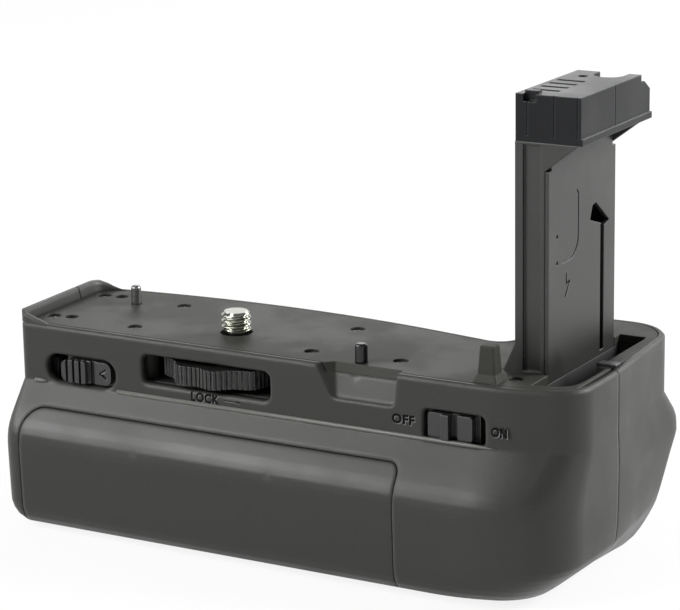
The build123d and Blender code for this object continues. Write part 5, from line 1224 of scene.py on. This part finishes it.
@dataclass(frozen=True)
class Studio:
    """Pale floor, soft lamps and the camera.

    The sweep, the aim and the floor are in millimetres, the lamps' distance and side in metres.
    """

    floor_z: float = -44.6
    sweep_reach: float = 3000.0
    sweep_cove: float = 600.0
    sweep_rise: float = 1300.0
    sweep_shares: tuple[float, ...] = (0.05, 0.2, 0.5, 1.0)
    sweep_sides: int = 96
    cove_steps: int = 9
    sweep_tones: tuple[Colour, Colour] = (grey(0.78), grey(0.82))
    sweep_glow_share: float = 0.86
    room_light: float = 0.22
    scale_px_per_mm: float = 4.72
    focal_px: float = 2769.0
    frame_px: Spot = (680.0, 610.0)
    screw_px: Spot = (236.5, 332.0)
    azimuth: float = 29.9
    elevation: float = 14.67
    roll: float = -0.952
    sensor: float = 36.0
    clip_start: float = 0.01
    lamp_aim: Triple = (20.0, 5.0, 0.0)
    lamp_distance: float = 1.05
    lamp_side: float = 0.4
    lamp_plan: tuple[Lamp, ...] = (
        Lamp("left_side", -65.0, 28.0, 5.1),
        Lamp("left_front", -35.0, 28.0, 8.4),
        Lamp("above_left", -30.0, 58.0, 2.2),
        Lamp("right_back", 120.0, 28.0, 16.4),
        Lamp("back", 160.0, 28.0, 3.0),
        Lamp("left_back", -150.0, 28.0, 1.4),
    )

    def build(self) -> None:
        """Make the sweep, the world, the lamps and the camera."""
        self.sweep()
        self.world()
        for lamp in self.lamp_plan:
            self.hang(lamp)
        self.camera()

    def seen(self, sheet: NodeSheet) -> tuple[Node, NodeSocket]:
        """Light Path node, and the mask of what the camera sees, straight or through glass."""
        path = sheet.add("ShaderNodeLightPath")
        mask = sheet.math("MAXIMUM", path.outputs["Is Camera Ray"], path.outputs["Is Transmission Ray"])
        return path, mask

    def sweep_material(self) -> Material:
        """White to the camera and in reflections, pale to the light, with the object's shadow."""
        material = bpy.data.materials.new("pale_sweep")
        sheet = NodeSheet.cleared(material)
        cloud = sheet.add("ShaderNodeTexNoise", Vector=sheet.place(), Scale=3.0, Detail=2.0)
        tone = sheet.mix(*self.sweep_tones, cloud.outputs[0])
        matt = sheet.add("ShaderNodeBsdfPrincipled", Base_Color=tone, Roughness=0.9, Specular_IOR_Level=0.1)
        glow = sheet.add("ShaderNodeEmission", Strength=1.0)
        path, seen = self.seen(sheet)
        mirrored = sheet.math("MAXIMUM", seen, path.outputs["Is Glossy Ray"])
        share = sheet.math("MULTIPLY", mirrored, self.sweep_glow_share)
        blend = sheet.add("ShaderNodeMixShader", None, share, matt.outputs[0], glow.outputs[0])
        sheet.add("ShaderNodeOutputMaterial", Surface=blend.outputs[0])
        return material

    def sweep(self) -> None:
        """Round floor that curves up into a low wall all round."""
        floor, reach, cove = self.floor_z, self.sweep_reach, self.sweep_cove
        profile = [(floor, (reach - cove) * share) for share in self.sweep_shares]
        for step in range(1, self.cove_steps + 1):
            turn = radians(90 / self.cove_steps * step)
            profile.append((floor + cove * (1 - cos(turn)), reach - cove + cove * sin(turn)))
        profile.append((floor + self.sweep_rise, reach))
        sheet = bmesh.new()
        loops = stack(sheet, even_rings(profile), self.sweep_sides, inward=True)
        sheet.faces.new(loops[0])
        bmesh.ops.recalc_face_normals(sheet, faces=sheet.faces)
        mesh = finished(sheet, "sweep")
        mesh.materials.append(self.sweep_material())
        for face in mesh.polygons:
            face.use_smooth = True
        placed("sweep", mesh)

    def world(self) -> None:
        """White behind the sweep's edge to the camera, a plain dim room to the object."""
        world = bpy.data.worlds.new("studio")
        bpy.context.scene.world = world
        sheet = NodeSheet.cleared(world)
        strength = sheet.ramp(self.seen(sheet)[1], 0.0, 1.0, self.room_light, 1.0)
        back = sheet.add("ShaderNodeBackground", Strength=strength, Color=grey(1.0))
        sheet.add("ShaderNodeOutputWorld", Surface=back.outputs[0])

    def hang(self, lamp: Lamp) -> None:
        """Add one square soft lamp that points at the object."""
        away = direction(lamp.azimuth, lamp.elevation) * self.lamp_distance
        data = bpy.data.lights.new(lamp.name, "AREA")
        data.shape = "SQUARE"
        data.size = self.lamp_side
        data.energy = lamp.watts
        holder = placed(lamp.name, data)
        holder.location = mm(*self.lamp_aim) + away
        holder.rotation_euler = (-away).to_track_quat("-Z", "Y").to_euler()

    def camera(self) -> None:
        """Camera at the photograph's angle and distance."""
        azimuth, roll = radians(self.azimuth), radians(self.roll)
        back = direction(self.azimuth, self.elevation)
        level = Vector((cos(azimuth), sin(azimuth), 0.0))
        rise = back.cross(level)
        right = level * cos(roll) + rise * sin(roll)
        up = rise * cos(roll) - level * sin(roll)
        distance = self.focal_px / self.scale_px_per_mm * MM
        across, down = (
            (spot - size / 2) / self.focal_px * distance for spot, size in zip(self.screw_px, self.frame_px)
        )
        place = back * distance - right * across + up * down
        data = bpy.data.cameras.new("camera")
        data.sensor_width = self.sensor
        data.lens = self.focal_px / self.frame_px[0] * self.sensor
        data.clip_start = self.clip_start
        camera = placed("camera", data)
        camera.matrix_world = Matrix.Translation(place) @ Matrix((right, up, back)).transposed().to_4x4()
        bpy.context.scene.camera = camera


def main() -> None:
    """Load the frame, dress it, and set up the studio."""
    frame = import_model()
    bpy.context.scene.view_settings.view_transform = "Standard"
    Finishes.build()
    CarriedNodes().build(frame["nodes"])
    ScrewSets().build(frame["nodes"])
    CameraScrew().build()
    TripodThread().build()
    RidgeBead().build()
    ReleaseSpring().build(frame["nodes"])
    Engravings().build()
    Studio().build()


if __name__ == "__main__":
    main()
